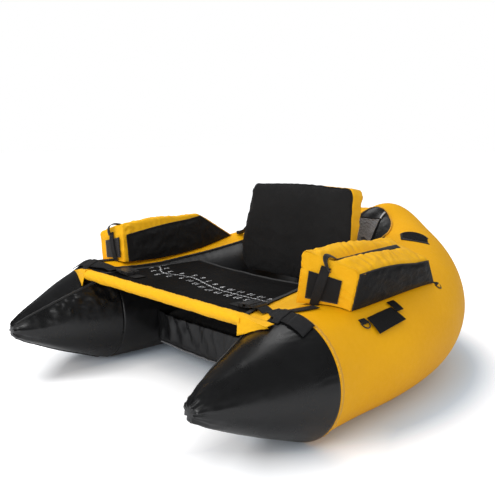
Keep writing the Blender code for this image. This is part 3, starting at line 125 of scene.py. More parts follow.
class Creases(NamedTuple):
    """Sharp-edged folds: their size and their depth."""

    size: float
    depth: float


class Nodes:
    """The node tree of a material, around its Principled shader, or of a world."""

    def __init__(self, name: str, world: bool = False) -> None:
        """Start a material or a world of this name."""
        self.owner = (bpy.data.worlds if world else bpy.data.materials).new(name)
        self.owner.use_nodes = True
        self.tree = self.owner.node_tree
        self.shader = self.tree.nodes.get("Principled BSDF")

    def put(self, node: bpy.types.Node, key: str | int, value: object) -> None:
        """Link a socket to a node's input, or set the input to a value.

        Args:
            node: the node to change.
            key: the input's name or number.
            value: a socket, or the value.
        """
        if isinstance(value, Socket):
            self.tree.links.new(value, node.inputs[key])
        else:
            node.inputs[key].default_value = value

    def add(self, kind: str, inputs: dict | None = None, **settings: object) -> bpy.types.Node:
        """Add a node.

        Args:
            kind: the node's type, without its common prefix.
            inputs: sockets or values by input.
            settings: the node's own settings.

        Returns:
            The node.
        """
        node = self.tree.nodes.new("ShaderNode" + kind)
        for key, value in settings.items():
            setattr(node, key, value)
        for key, value in (inputs or {}).items():
            self.put(node, key, value)
        return node

    def maths(self, operation: str, *values: object) -> Socket:
        """Return the result of a Math node on some values."""
        return self.add("Math", dict(enumerate(values)), operation=operation).outputs[0]

    def body(self) -> Socket:
        """Return the Object coordinates."""
        return self.add("TexCoord").outputs["Object"]

    def cloth(self) -> bpy.types.Node:
        """Return a node with the across and along coordinates of a cloth, in metres."""
        return self.add("SeparateXYZ", {0: self.add("UVMap", uv_map=CLOTH_MAP).outputs[0]})

    def noise(self, where: Socket, size: float, detail: float = 3, distortion: float = 0) -> Socket:
        """Return a noise pattern.

        Args:
            where: the coordinates.
            size: the size of its patches in metres.
            detail: how many finer layers it has.
            distortion: how far it is stirred.

        Returns:
            The pattern's factor.
        """
        node = self.add("TexNoise", {"Vector": where, "Scale": 1 / size, "Detail": detail,
                                     "Distortion": distortion})
        return node.outputs[0]

    def spread(self, factor: Socket, start: float, end: float, low: float = 0, high: float = 1) -> Socket:
        """Return a factor spread from one range to another, and held at its ends."""
        node = self.add("MapRange", {"Value": factor, "From Min": start, "From Max": end,
                                     "To Min": low, "To Max": high})
        return node.outputs[0]

    def blend(self, factor: object, first: object, second: object) -> Socket:
        """Return a colour between two others."""
        opaque = [(*c, 1) if isinstance(c, tuple) else c for c in (first, second)]
        node = self.add("Mix", {0: factor, 6: opaque[0], 7: opaque[1]}, data_type="RGBA")
        return node.outputs[2]

    def bump(self, height: Socket, depth: float, strength: float = 1,
             under: Socket | None = None) -> Socket:
        """Return a normal bumped by a height pattern.

        Args:
            height: the pattern, 0 to 1.
            depth: the height of 1, in metres.
            strength: how much of it shows.
            under: a normal to start from.

        Returns:
            The normal.
        """
        inputs = {"Height": height, "Distance": depth, "Strength": strength}
        if under is not None:
            inputs["Normal"] = under
        return self.add("Bump", inputs).outputs[0]

    def finish(self, slot: str, **inputs: object) -> Finish:
        """Set the shader's inputs and return the finish; an underscore stands for a space."""
        for key, value in inputs.items():
            value = (*value, 1) if isinstance(value, tuple) and len(value) == 3 else value
            self.put(self.shader, key.replace("_", " "), value)
        return Finish(self.owner, slot)


@dataclass(frozen=True)
class Cloth:
    """A woven cloth, plain, ribbed, looped or coated, mapped in metres along its threads."""

    name: str
    slot: str
    colour: Colour
    shade: Colour
    weave: Weave = Weave.PLAIN
    thread: float = 0.0011
    relief: float = 0.00016
    crumple: float = 0.0006
    crumple_size: float = 0.03
    roughness: float = 0.72
    sheen: float = 0.15
    specular: float = 0.4

    def height(self, nodes: Nodes) -> Socket:
        """Return the height of the threads, 0 to 1."""
        place = nodes.cloth()
        turn = math.tau / self.thread
        across = nodes.maths("SINE", nodes.maths("MULTIPLY", place.outputs[0], turn))
        along = nodes.maths("SINE", nodes.maths("MULTIPLY", place.outputs[1], turn))
        if self.weave is Weave.RIBBED:
            rib = nodes.maths("ABSOLUTE", nodes.maths("SINE", nodes.maths(
                "MULTIPLY", place.outputs[0], turn / 4)))
            slant = nodes.maths("ADD", nodes.maths("MULTIPLY", place.outputs[0], turn / 2),
                                nodes.maths("MULTIPLY", place.outputs[1], turn))
            thread = nodes.maths("MULTIPLY", nodes.maths("SINE", slant), 0.3)
            return nodes.maths("ADD", rib, thread)
        if self.weave is Weave.LOOPED:
            return nodes.noise(nodes.body(), self.thread, 4)
        product = nodes.maths("MULTIPLY", across, along)
        return nodes.maths("MULTIPLY_ADD", product, 0.5, 0.5)

    def make(self) -> Finish:
        """Make the material.

        Returns:
            The cloth's finish.
        """
        nodes = Nodes(self.name)
        where = nodes.body()
        weave = self.height(nodes)
        broad = nodes.spread(nodes.noise(where, 0.16, 3), 0.35, 0.68)
        fine = nodes.spread(nodes.noise(where, 0.012, 4), 0.3, 0.75)
        worn = nodes.maths("MULTIPLY_ADD", fine, 0.35, nodes.maths("MULTIPLY", broad, 0.5))
        colour = nodes.blend(worn, self.colour, self.shade)
        # Painted shade: where the weave is low, between the threads, the colour is blended up to 22%
        # towards the darker shade.
        depth = nodes.spread(weave, 0, 0.5)
        colour = nodes.blend(depth, nodes.blend(0.22, colour, self.shade), colour)
        folds = nodes.noise(where, self.crumple_size, 5, 0.6)
        normal = nodes.bump(folds, self.crumple)
        normal = nodes.bump(weave, self.relief, 0.8, normal)
        rough = nodes.spread(fine, 0, 1, self.roughness - 0.07, self.roughness + 0.07)
        coat = {"Coat_Weight": 0.12, "Coat_Roughness": 0.4} if self.weave is Weave.COATED else {}
        return nodes.finish(self.slot, Base_Color=colour, Roughness=rough, Normal=normal,
                            Sheen_Weight=self.sheen, Sheen_Roughness=0.5,
                            Specular_IOR_Level=self.specular, **coat)


@dataclass(frozen=True)
class Vinyl:
    """A coated sheet with a soft gloss, scuffs and fine creases."""

    name: str
    slot: str
    colour: Colour
    shade: Colour
    roughness: float = 0.36
    crease: float = 0.0007
    crease_size: float = 0.07
    grain: float = 0.00008

    def make(self) -> Finish:
        """Make the material.

        Returns:
            The sheet's finish.
        """
        nodes = Nodes(self.name)
        where = nodes.body()
        creases = nodes.noise(where, self.crease_size, 6, 0.9)
        grain = nodes.noise(where, 0.0022, 2)
        scuff = nodes.spread(nodes.noise(where, 0.05, 4, 0.3), 0.38, 0.75)
        normal = nodes.bump(grain, self.grain, 0.6, nodes.bump(creases, self.crease))
        rough = nodes.spread(scuff, 0, 1, self.roughness - 0.02, self.roughness + 0.05)
        colour = nodes.blend(scuff, self.colour, self.shade)
        return nodes.finish(self.slot, Base_Color=colour, Roughness=rough, Normal=normal,
                            Specular_IOR_Level=0.5)


@dataclass(frozen=True)
class Moulded:
    """A moulded or drawn solid, with a fine grain and worn edges."""

    name: str
    slot: str
    colour: Colour
    shade: Colour
    roughness: float = 0.4
    grain_size: float = 0.0012
    grain: float = 0.00006
    metallic: float = 0.0

    def make(self) -> Finish:
        """Make the material.

        Returns:
            The solid's finish.
        """
        nodes = Nodes(self.name)
        where = nodes.body()
        cloud = nodes.spread(nodes.noise(where, 0.02, 4), 0.35, 0.7)
        colour = nodes.blend(cloud, self.colour, self.shade)
        normal = nodes.bump(nodes.noise(where, self.grain_size, 3), self.grain, 0.7)
        rough = nodes.spread(cloud, 0, 1, self.roughness - 0.06, self.roughness + 0.08)
        return nodes.finish(self.slot, Base_Color=colour, Roughness=rough, Normal=normal,
                            Metallic=self.metallic)


@dataclass(frozen=True)
class Stitched:
    """A narrow tape with rows of dashed stitches along it, mapped across and along in metres."""

    name: str
    slot: str
    colour: Colour
    thread_colour: Colour
    rows: tuple[float, ...] = (0.0015,)
    pitch: float = 0.0042
    gap_share: float = 0.3
    thread: float = 0.0007
    roughness: float = 0.7

    def make(self) -> Finish:
        """Make the material.

        Returns:
            The tape's finish.
        """
        nodes = Nodes(self.name)
        place = nodes.cloth()
        step = nodes.maths("FRACT", nodes.maths("DIVIDE", place.outputs[1], self.pitch))
        dash = nodes.maths("GREATER_THAN", step, self.gap_share)
        lines = None
        for row in self.rows:
            away = nodes.maths("ABSOLUTE", nodes.maths("SUBTRACT", place.outputs[0], row))
            line = nodes.maths("LESS_THAN", away, self.thread)
            lines = line if lines is None else nodes.maths("MAXIMUM", lines, line)
        stitch = nodes.maths("MULTIPLY", lines, dash)
        colour = nodes.blend(stitch, self.colour, self.thread_colour)
        folds = nodes.bump(nodes.noise(nodes.body(), 0.008, 4), 0.0006)
        normal = nodes.bump(stitch, 0.0004, 1, folds)
        return nodes.finish(self.slot, Base_Color=colour, Roughness=self.roughness, Normal=normal,
                            Sheen_Weight=0.1)


class Palette:
    """Every finish of the float tube, made once."""

    def __init__(self) -> None:
        """Make the finishes."""
        black, soot = (0.0080, 0.0076, 0.0078), (0.015, 0.0145, 0.0145)
        gold, ochre = (0.92, 0.455, 0.003), (0.84, 0.395, 0.002)
        self.hull = Cloth("hull_cloth", "yellow_cloth", gold, ochre, Weave.COATED,
                          roughness=0.6, crumple=0.0007, crumple_size=0.11, sheen=0, specular=0.10).make()
        self.yellow = Cloth("bag_cloth", "yellow_cloth", (0.92, 0.480, 0.008),
                            (0.82, 0.400, 0.005), crumple=0.0022, crumple_size=0.035,
                            roughness=0.62, sheen=0.02, specular=0.16).make()
        self.black = Cloth("seat_cloth", "black_cloth", black, soot, crumple=0.0016,
                           crumple_size=0.04, roughness=0.62, sheen=0.02, specular=0.22).make()
        self.panel = Cloth("panel_cloth", "black_cloth", black, soot, crumple=0.0035,
                           crumple_size=0.022, roughness=0.55, sheen=0.01, specular=0.16).make()
        self.apron = Cloth("apron_cloth", "black_cloth", (0.0060, 0.0056, 0.0056), soot,
                           crumple=0.0010, crumple_size=0.06, roughness=0.62, sheen=0,
                           specular=0.07).make()
        self.webbing = Cloth("strap_webbing", "grey_black_webbing", (0.017, 0.017, 0.018),
                             (0.009, 0.009, 0.010), Weave.RIBBED, thread=0.0016, relief=0.0005,
                             crumple=0.0004, roughness=0.66, sheen=0.04, specular=0.2).make()
        self.loop = Cloth("loop_cloth", "hook_and_loop", (0.0075, 0.0075, 0.008),
                          (0.014, 0.014, 0.015), Weave.LOOPED, thread=0.0016, relief=0.0012,
                          crumple=0.0006, roughness=0.95, sheen=0.35, specular=0.1).make()
        self.vinyl = Vinyl("cone_vinyl", "black_vinyl", (0.0045, 0.0045, 0.0048),
                           (0.0070, 0.0070, 0.0074), roughness=0.29).make()
        self.under = Vinyl("under_vinyl", "black_vinyl", (0.0055, 0.0055, 0.006),
                           (0.012, 0.012, 0.013), roughness=0.36).make()
        self.plastic = Moulded("buckle_plastic", "black_plastic", (0.026, 0.026, 0.027),
                               (0.040, 0.040, 0.042), roughness=0.32).make()
        self.metal = Moulded("bar_metal", "aluminium_tube", (0.62, 0.63, 0.64),
                             (0.50, 0.51, 0.52), roughness=0.3, metallic=1.0).make()
        self.film = Moulded("bladder_film", "bladder_film", (0.30, 0.33, 0.35),
                            (0.24, 0.27, 0.29), roughness=0.3).make()
        self.foam = Moulded("pad_foam", "pad_foam", (0.70, 0.69, 0.64), (0.58, 0.57, 0.52),
                            roughness=0.9, grain_size=0.003, grain=0.0004).make()
        self.net = Moulded("net_cord", "grey_net_cord", (0.56, 0.56, 0.575),
                           (0.42, 0.42, 0.43), roughness=0.8, grain=0.0002).make()
        self.print = Moulded("ruler_print", "black_cloth", (0.66, 0.66, 0.67),
                             (0.46, 0.46, 0.47), roughness=0.7).make()
        self.trim = Cloth("grey_piping", "grey_trim", (0.20, 0.20, 0.21), (0.12, 0.12, 0.125),
                          thread=0.0012, roughness=0.7).make()
        self.yellow_seam = Stitched("yellow_seam", "yellow_cloth", (0.68, 0.325, 0.008),
                                    (0.80, 0.46, 0.03), (0.0018,)).make()
        self.black_seam = Stitched("black_seam", "black_cloth", (0.010, 0.010, 0.010),
                                   (0.045, 0.045, 0.048), (0.0018,)).make()
        self.zip_tape = Stitched("zip_tape", "black_cloth", (0.006, 0.006, 0.006),
                                 (0.03, 0.03, 0.031), (0.0025, 0.0115), 0.0035).make()
        self.grey_stitch = Stitched("grey_stitch", "black_cloth", (0.012, 0.012, 0.012),
                                    (0.22, 0.215, 0.20), (0.0030,), 0.004).make()


def drift(x: float, y: float, z: float) -> float:
    """Return smooth noise at three coordinates."""
    return noise.noise(Vector((x, y, z)))


def pucker(distance: float, run: float, gathers: Gathers) -> float:
    """Return the height of the gathers beside a seam.

    Args:
        distance: how far the point lies from the seam.
        run: how far along the seam it lies.
        gathers: their length, depth and reach.

    Returns:
        The height.
    """
    wave, depth, reach = gathers
    wander = drift(run / (2.5 * wave), distance / (2 * wave), wave * 40)
    swell = 0.6 + 0.8 * drift(run / (4 * wave), 3.1, wave * 30)
    distance = max(distance, 0)
    fade = 1.9 * math.exp(-distance / reach) * (1 - math.exp(-4 * distance / reach))
    return depth * fade * swell * math.sin(math.tau * run / wave + 5 * wander)


def crease(point: Vector, creases: Creases) -> float:
    """Return the height of sharp-edged folds at a point."""
    first = 1 - 2 * abs(noise.noise(point / creases.size))
    second = 1 - 2 * abs(noise.noise(point / (creases.size * 0.47) + Vector((7, 3, 1))))
    return creases.depth * (0.7 * first + 0.3 * second - 0.4)


def peak(value: float, middle: float, width: float) -> float:
    """Return a bell that is 1 at its middle."""
    return math.exp(-((value - middle) / width) ** 2)


def arched(share: float) -> float:
    """Return an arch over a share from 0 to 1, which is 1 at its crown."""
    return math.sin(math.pi * share)


def last_where(low: float, high: float, holds: Callable[[float], bool]) -> float:
    """Return the last value between two for which a test holds, found by halving."""
    for _ in range(30):
        middle = (low + high) / 2
        if holds(middle):
            low = middle
        else:
            high = middle
    return (low + high) / 2


def ease(share: float) -> float:
    """Return a share from 0 to 1 that starts and ends gently."""
    share = min(max(share, 0), 1)
    return share * share * (3 - 2 * share)


def laid(columns: int, rows: int, flat: Pair, place: Place,
         away: Vector | None = None, closed: bool = False) -> Form:
    """Make a grid, map it in metres and lay each of its points in place.

    Args:
        columns: how many faces lie across it.
        rows: how many faces lie along it.
        flat: its width and length when flat.
        place: gives the point at a share across and a share along.
        away: a point that its faces turn away from.
        closed: whether edges that meet are merged.

    Returns:
        The laid grid.
    """
    form = bmesh.new()
    bmesh.ops.create_grid(form, x_segments=columns, y_segments=rows, size=0.5)
    layer = form.loops.layers.uv.new(CLOTH_MAP)
    for face in form.faces:
        for corner in face.loops:
            shares = corner.vert.co
            corner[layer].uv = ((shares.x + 0.5) * flat[0], (shares.y + 0.5) * flat[1])
    for vert in form.verts:
        vert.co = place(vert.co.x + 0.5, vert.co.y + 0.5)
    if closed:
        bmesh.ops.remove_doubles(form, verts=form.verts, dist=1e-6)
        bmesh.ops.dissolve_degenerate(form, edges=form.edges, dist=1e-7)
    if away is not None:
        turn_away(form, away)
    return form


def turn_away(form: Form, point: Vector) -> None:
    """Turn a form's faces so that they look away from a point."""
    form.normal_update()
    outwards = sum((face.calc_center_median() - point).normalized().dot(face.normal)
                   * face.calc_area() for face in form.faces)
    if outwards < 0:
        bmesh.ops.reverse_faces(form, faces=form.faces)


def face_out(form: Form, number: int, centre: Vector) -> None:
    """Turn a form's faces all one way, so that a numbered one looks away from a centre."""
    bmesh.ops.recalc_face_normals(form, faces=form.faces)
    form.faces.ensure_lookup_table()
    face = form.faces[number]
    if (face.calc_center_median() - centre).dot(face.normal) < 0:
        bmesh.ops.reverse_faces(form, faces=form.faces)


def map_flat(form: Form, across: Vector, along: Vector) -> None:
    """Map a form in metres by its places along two directions."""
    layer = form.loops.layers.uv.get(CLOTH_MAP) or form.loops.layers.uv.new(CLOTH_MAP)
    for face in form.faces:
        for corner in face.loops:
            corner[layer].uv = (corner.vert.co.dot(across), corner.vert.co.dot(along))


def linked(name: str, data: bpy.types.ID) -> Thing:
    """Return a new object of some data, put into the scene."""
    thing = bpy.data.objects.new(name, data)
    bpy.context.scene.collection.objects.link(thing)
    return thing


def settled(thing: Thing) -> bpy.types.Mesh:
    """Return the mesh that an object has after its modifiers."""
    return bpy.data.meshes.new_from_object(thing.evaluated_get(bpy.context.evaluated_depsgraph_get()))


def facing(place: Vector, target: Vector) -> Matrix:
    """Return the place of a camera or lamp that looks at a target."""
    turn = (target - place).to_track_quat("-Z", "Y").to_matrix().to_4x4()
    return Matrix.Translation(place) @ turn


def joined(forms: Sequence[Form], merge: float = 1e-5) -> Form:
    """Join forms into one and merge the points where they meet.

    Args:
        forms: the forms, which are used up.
        merge: how close points are that become one.

    Returns:
        The joined form.
    """
    whole = bmesh.new()
    whole.loops.layers.uv.new(CLOTH_MAP)
    for form in forms:
        mesh = bpy.data.meshes.new("part")
        form.to_mesh(mesh)
        form.free()
        whole.from_mesh(mesh)
        bpy.data.meshes.remove(mesh)
    bmesh.ops.remove_doubles(whole, verts=whole.verts, dist=merge)
    return whole


def put_piece(name: str, form: Form, finish: Finish,
              stands_for: Sequence[str] = (), wall: float = 0, offset: float = -1,
              smooth: int = 0, sharp: float = 50, body: str = HULL, rides: bool = True) -> Thing:
    """Make a piece from a form, finish it and let it ride on a body.

    Args:
        name: the piece's name.
        form: its mesh, which is used up.
        finish: its material and slot.
        stands_for: the CAD nodes that it replaces.
        wall: its thickness, or 0 for a solid.
        offset: the side that the thickness lies on, -1 inside and 1 outside.
        smooth: how many times it is subdivided.
        sharp: the angle in degrees past which an edge stays sharp.
        body: the CAD body that it moves with.
        rides: whether it is attached to its body here; otherwise it is attached to none.

    Returns:
        The piece's object.
    """
    limit = math.radians(sharp)
    form.normal_update()
    for edge in form.edges:
        edge.smooth = len(edge.link_faces) != 2 or edge.calc_face_angle(0) < limit
    for face in form.faces:
        face.smooth = True
    mesh = bpy.data.meshes.new(name)
    form.to_mesh(mesh)
    form.free()
    mesh.materials.append(finish.material)
    piece = linked(name, mesh)
    if wall:
        walls = piece.modifiers.new("wall", "SOLIDIFY")
        walls.thickness, walls.offset = wall, offset
    if smooth:
        softened = piece.modifiers.new("smooth", "SUBSURF")
        softened.levels = softened.render_levels = smooth
    if stands_for:
        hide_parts(*stands_for)
    if rides:
        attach(piece, body)
    LOG.info("%s rides on %s, %d faces", name, body, len(mesh.polygons))
    return piece


def lay_piece(name: str, cells: tuple[int, int], flat: Pair, place: Place,
              away: Vector | None, finish: Finish, *settings: object, **options: object) -> Thing:
    """Make a piece from a laid grid.

    Args:
        name: the piece's name.
        cells: how many faces lie across and along it.
        flat: its width and length when flat.
        place: gives the point at a share across and a share along.
        away: a point that its faces turn away from.
        finish: its material and slot.
        settings: put_piece's further settings in their order.
        options: put_piece's further settings by name.

    Returns:
        The piece's object.
    """
    return put_piece(name, laid(*cells, flat, place, away), finish, *settings, **options)


def mesh_form(mesh: bpy.types.Mesh) -> Form:
    """Return a form of a mesh, which is used up with the objects that show it."""
    form = bmesh.new()
    form.from_mesh(mesh)
    bpy.data.meshes.remove(mesh)
    return form


def corded(name: str, points: Sequence[Vector], radius: float, finish: Finish,
           stands_for: Sequence[str] = (), closed: bool = False, body: str = HULL) -> Thing:
    """Make a round cord, wire or piping along a line.

    Args:
        name: the piece's name.
        points: the line's points.
        radius: the cord's radius.
        finish: its finish.
        stands_for: the CAD nodes that it replaces.
        closed: whether the line runs back to its start.
        body: the CAD body that it moves with.

    Returns:
        The piece's object.
    """
    curve = bpy.data.curves.new(name, "CURVE")
    curve.dimensions, curve.bevel_depth, curve.bevel_resolution = "3D", radius, 2
    curve.use_fill_caps = not closed
    line = curve.splines.new("POLY")
    line.points.add(len(points) - 1)
    for spot, point in zip(line.points, points):
        spot.co = (*point, 1)
    line.use_cyclic_u = closed
    form = mesh_form(settled(linked(name, curve)))
    bpy.data.curves.remove(curve)
    bmesh.ops.remove_doubles(form, verts=form.verts, dist=1e-6)
    bmesh.ops.recalc_face_normals(form, faces=form.faces)
    for layer in form.loops.layers.uv.values():
        form.loops.layers.uv.remove(layer)
    map_flat(form, Vector((1, 0, 1)), Vector((0, 1, 0)))
    return put_piece(name, form, finish, stands_for, body=body)


def inflate(form: Form, voxel: float, pressure: float, cap: float) -> Form:
    """Blow a closed form up as a cloth skin.

    Args:
        form: the closed form, which is used up.
        voxel: the size of the new mesh's faces.
        pressure: the air's pressure.
        cap: how far a point may move.

    Returns:
        The swollen form.
    """
    mesh = bpy.data.meshes.new("skin")
    form.to_mesh(mesh)
    form.free()
    skin = linked("skin", mesh)
    remesh = skin.modifiers.new("remesh", "REMESH")
    remesh.mode, remesh.voxel_size = "VOXEL", voxel
    skin.data = settled(skin)
    skin.modifiers.clear()
    rest = [vert.co.copy() for vert in skin.data.vertices]
    settings = skin.modifiers.new("cloth", "CLOTH").settings
    settings.use_pressure, settings.uniform_pressure_force = True, pressure
    settings.effector_weights.gravity = 0
    settings.quality = 5
    for number in range(1, 21):
        bpy.context.scene.frame_set(number)
    moved = settled(skin)
    skin.modifiers.clear()
    skin.data = moved
    bpy.context.scene.frame_set(1)
    for vert, start in zip(skin.data.vertices, rest):
        shift = vert.co - start
        if shift.length > cap:
            vert.co = start + shift.normalized() * cap
    swollen = bmesh.new()
    swollen.from_mesh(skin.data)
    bpy.data.objects.remove(skin)
    bmesh.ops.smooth_vert(swollen, verts=swollen.verts, factor=0.5, use_axis_x=True,
                          use_axis_y=True, use_axis_z=True)
    return swollen


def dress_node(node: Thing, finish: Finish) -> None:
    """Give a CAD node a better material."""
    node.data.materials.clear()
    node.data.materials.append(finish.material)
    LOG.info("%s keeps its CAD shape", node.name)


@dataclass
class HullShape:
    """The shape of the U-shaped tube and its nose cones, which all other pieces lie on."""

    tip_y: float = -0.6885
    seam_y: float = -0.3855
    bend_y: float = -0.1865
    curve_depth: float = 0.654
    seam_spacing: float = 0.433
    bend_spacing: float = 0.418
    seam_radius: float = 0.161
    bend_radius: float = 0.157
    stern_radius: float = 0.221
    stern_lift: float = 0.020
    ground_press: float = 0.006
    tip_spacing: float = 0.421
    tip_height: float = 0.150
    tip_radius: float = 0.015
    curve_power: float = 2.3
    radius_growth: float = 1.25
    lift_growth: float = 4
    swell: float = 0.8
    crest_rise: float = 0.032
    rise_start: float = 1.1
    rise_length: float = 0.7
    hump: float = 0.80
    hump_station: float = 1.85
    hump_width: float = 0.065
    dip: float = 0.95
    dip_width: float = 0.1
    measures: int = 400
    lengths: list[float] = field(default_factory=list)

    def __post_init__(self) -> None:
        """Measure the tube's middle line from the right seam to the left one."""
        last = self.ring(0)[0]
        self.lengths = [0.0]
        for step in range(1, self.measures + 1):
            here = self.ring(4 * step / self.measures)[0]
            self.lengths.append(self.lengths[-1] + (here - last).length)
            last = here

    def station_at(self, share: float) -> float:
        """Return the station at a share of the middle line's length."""
        goal = share * self.lengths[-1]
        high = min(max(bisect_right(self.lengths, goal), 1), self.measures)
        low = high - 1
        part = (goal - self.lengths[low]) / (self.lengths[high] - self.lengths[low])
        return 4 * (low + part) / self.measures

    def ring(self, station: float) -> tuple[Vector, Vector, float]:
        """Return the tube's ring at a station.

        Args:
            station: 0 at the right cone seam, 1 at the bend, 2 at the stern, 4 at the left seam.

        Returns:
            The ring's centre, its outward direction and its radius.
        """
        side = Side.RIGHT if station <= 2 else Side.LEFT
        along = min(max(station if side is Side.RIGHT else 4 - station, 0), 2)
        if along <= 1:
            part = (1 - along) ** 2
            x = self.bend_spacing + (self.seam_spacing - self.bend_spacing) * part
            y = self.seam_y + (self.bend_y - self.seam_y) * along
            radius = self.bend_radius + (self.seam_radius - self.bend_radius) * part
            outward, lift = Vector((1, 0, 0)), 0.0
        else:
            turn = (along - 1) * math.pi / 2
            power, slope = 2 / self.curve_power, self.curve_power - 1
            x_share = max(math.cos(turn), 0) ** power if along < 2 else 0.0
            y_share = math.sin(turn) ** power
            x, y = self.bend_spacing * x_share, self.bend_y + self.curve_depth * y_share
            outward = Vector((x_share ** slope / self.bend_spacing,
                              y_share ** slope / self.curve_depth, 0)).normalized()
            radius = self.bend_radius
            radius += (self.stern_radius - self.bend_radius) * (along - 1) ** self.radius_growth
            lift = self.stern_lift * math.sin(turn) ** self.lift_growth
        centre = Vector((x, y, radius - self.ground_press + lift))
        return side.of(centre), side.of(outward), radius

    def point(self, station: float, angle: float, lift: float = 0) -> Vector:
        """Return a point of the tube; the angle runs from outward through up to inward."""
        centre, outward, radius = self.ring(station)
        point = centre + (outward * math.cos(angle) + UP * math.sin(angle)) * (radius + lift)
        point.z = max(point.z + self.rise(station, math.sin(angle)), 0)
        return point

    def rise(self, station: float, sine: float) -> float:
        """Return how much higher the firmly blown-up stern stands at a sine of the angle."""
        along = min(station, 4 - station)
        hump = self.hump * peak(along, self.hump_station, self.hump_width)
        dip = self.dip * peak(along, 2, self.dip_width)
        share = ease((along - self.rise_start) / self.rise_length) + hump - dip
        return self.crest_rise * share * max(sine, 0) ** 2

    def cone_ring(self, side: Side, reach: float) -> tuple[Vector, Vector, float]:
        """Return a nose cone's ring, from its tip at 0 to its seam at 1."""
        tip = Vector((self.tip_spacing, self.tip_y, self.tip_height))
        centre = side.of(tip.lerp(self.ring(0)[0], reach))
        growth = max(reach, 0) ** self.swell
        radius = self.tip_radius + (self.seam_radius - self.tip_radius) * growth
        return centre, Vector((side.value, 0, 0)), radius

    def arm_station(self, x: float, y: float) -> float:
        """Return the right-hand station whose ring stands over a point on the ground."""
        spot = Vector((abs(x), y, 0))

        def before(station: float) -> bool:
            """Return whether the point lies past a station's ring."""
            centre, outward, _ = self.ring(station)
            return Vector((-outward.y, outward.x, 0)).dot(spot - centre) > 0

        return last_where(0.0, 2.0, before)

    def height(self, x: float, y: float, lift: float = 0) -> float:
        """Return how high the tube or cone reaches over a point on the ground.

        Args:
            x: the point's place across.
            y: its place along.
            lift: a distance off the tube's skin.

        Returns:
            The height.
        """
        station = 0.0
        if y < self.seam_y:
            reach = max((y - self.tip_y) / (self.seam_y - self.tip_y), 0)
            centre, _, radius = self.cone_ring(Side.RIGHT, reach)
            beside = abs(x) - centre.x
        else:
            station = self.arm_station(x, y)
            centre, _, radius = self.ring(station)
            beside = (Vector((abs(x), y, centre.z)) - centre).length
        over = math.sqrt(max((radius + lift) ** 2 - beside ** 2, 0))
        return centre.z + over + self.rise(station, over / radius)

    def normal(self, x: float, y: float) -> Vector:
        """Return the direction out of the tube's upper side over a point on the ground."""
        step = 0.004
        slope_x = self.height(x + step, y) - self.height(x - step, y)
        slope_y = self.height(x, y + step) - self.height(x, y - step)
        return Vector((-slope_x, -slope_y, 2 * step)).normalized()


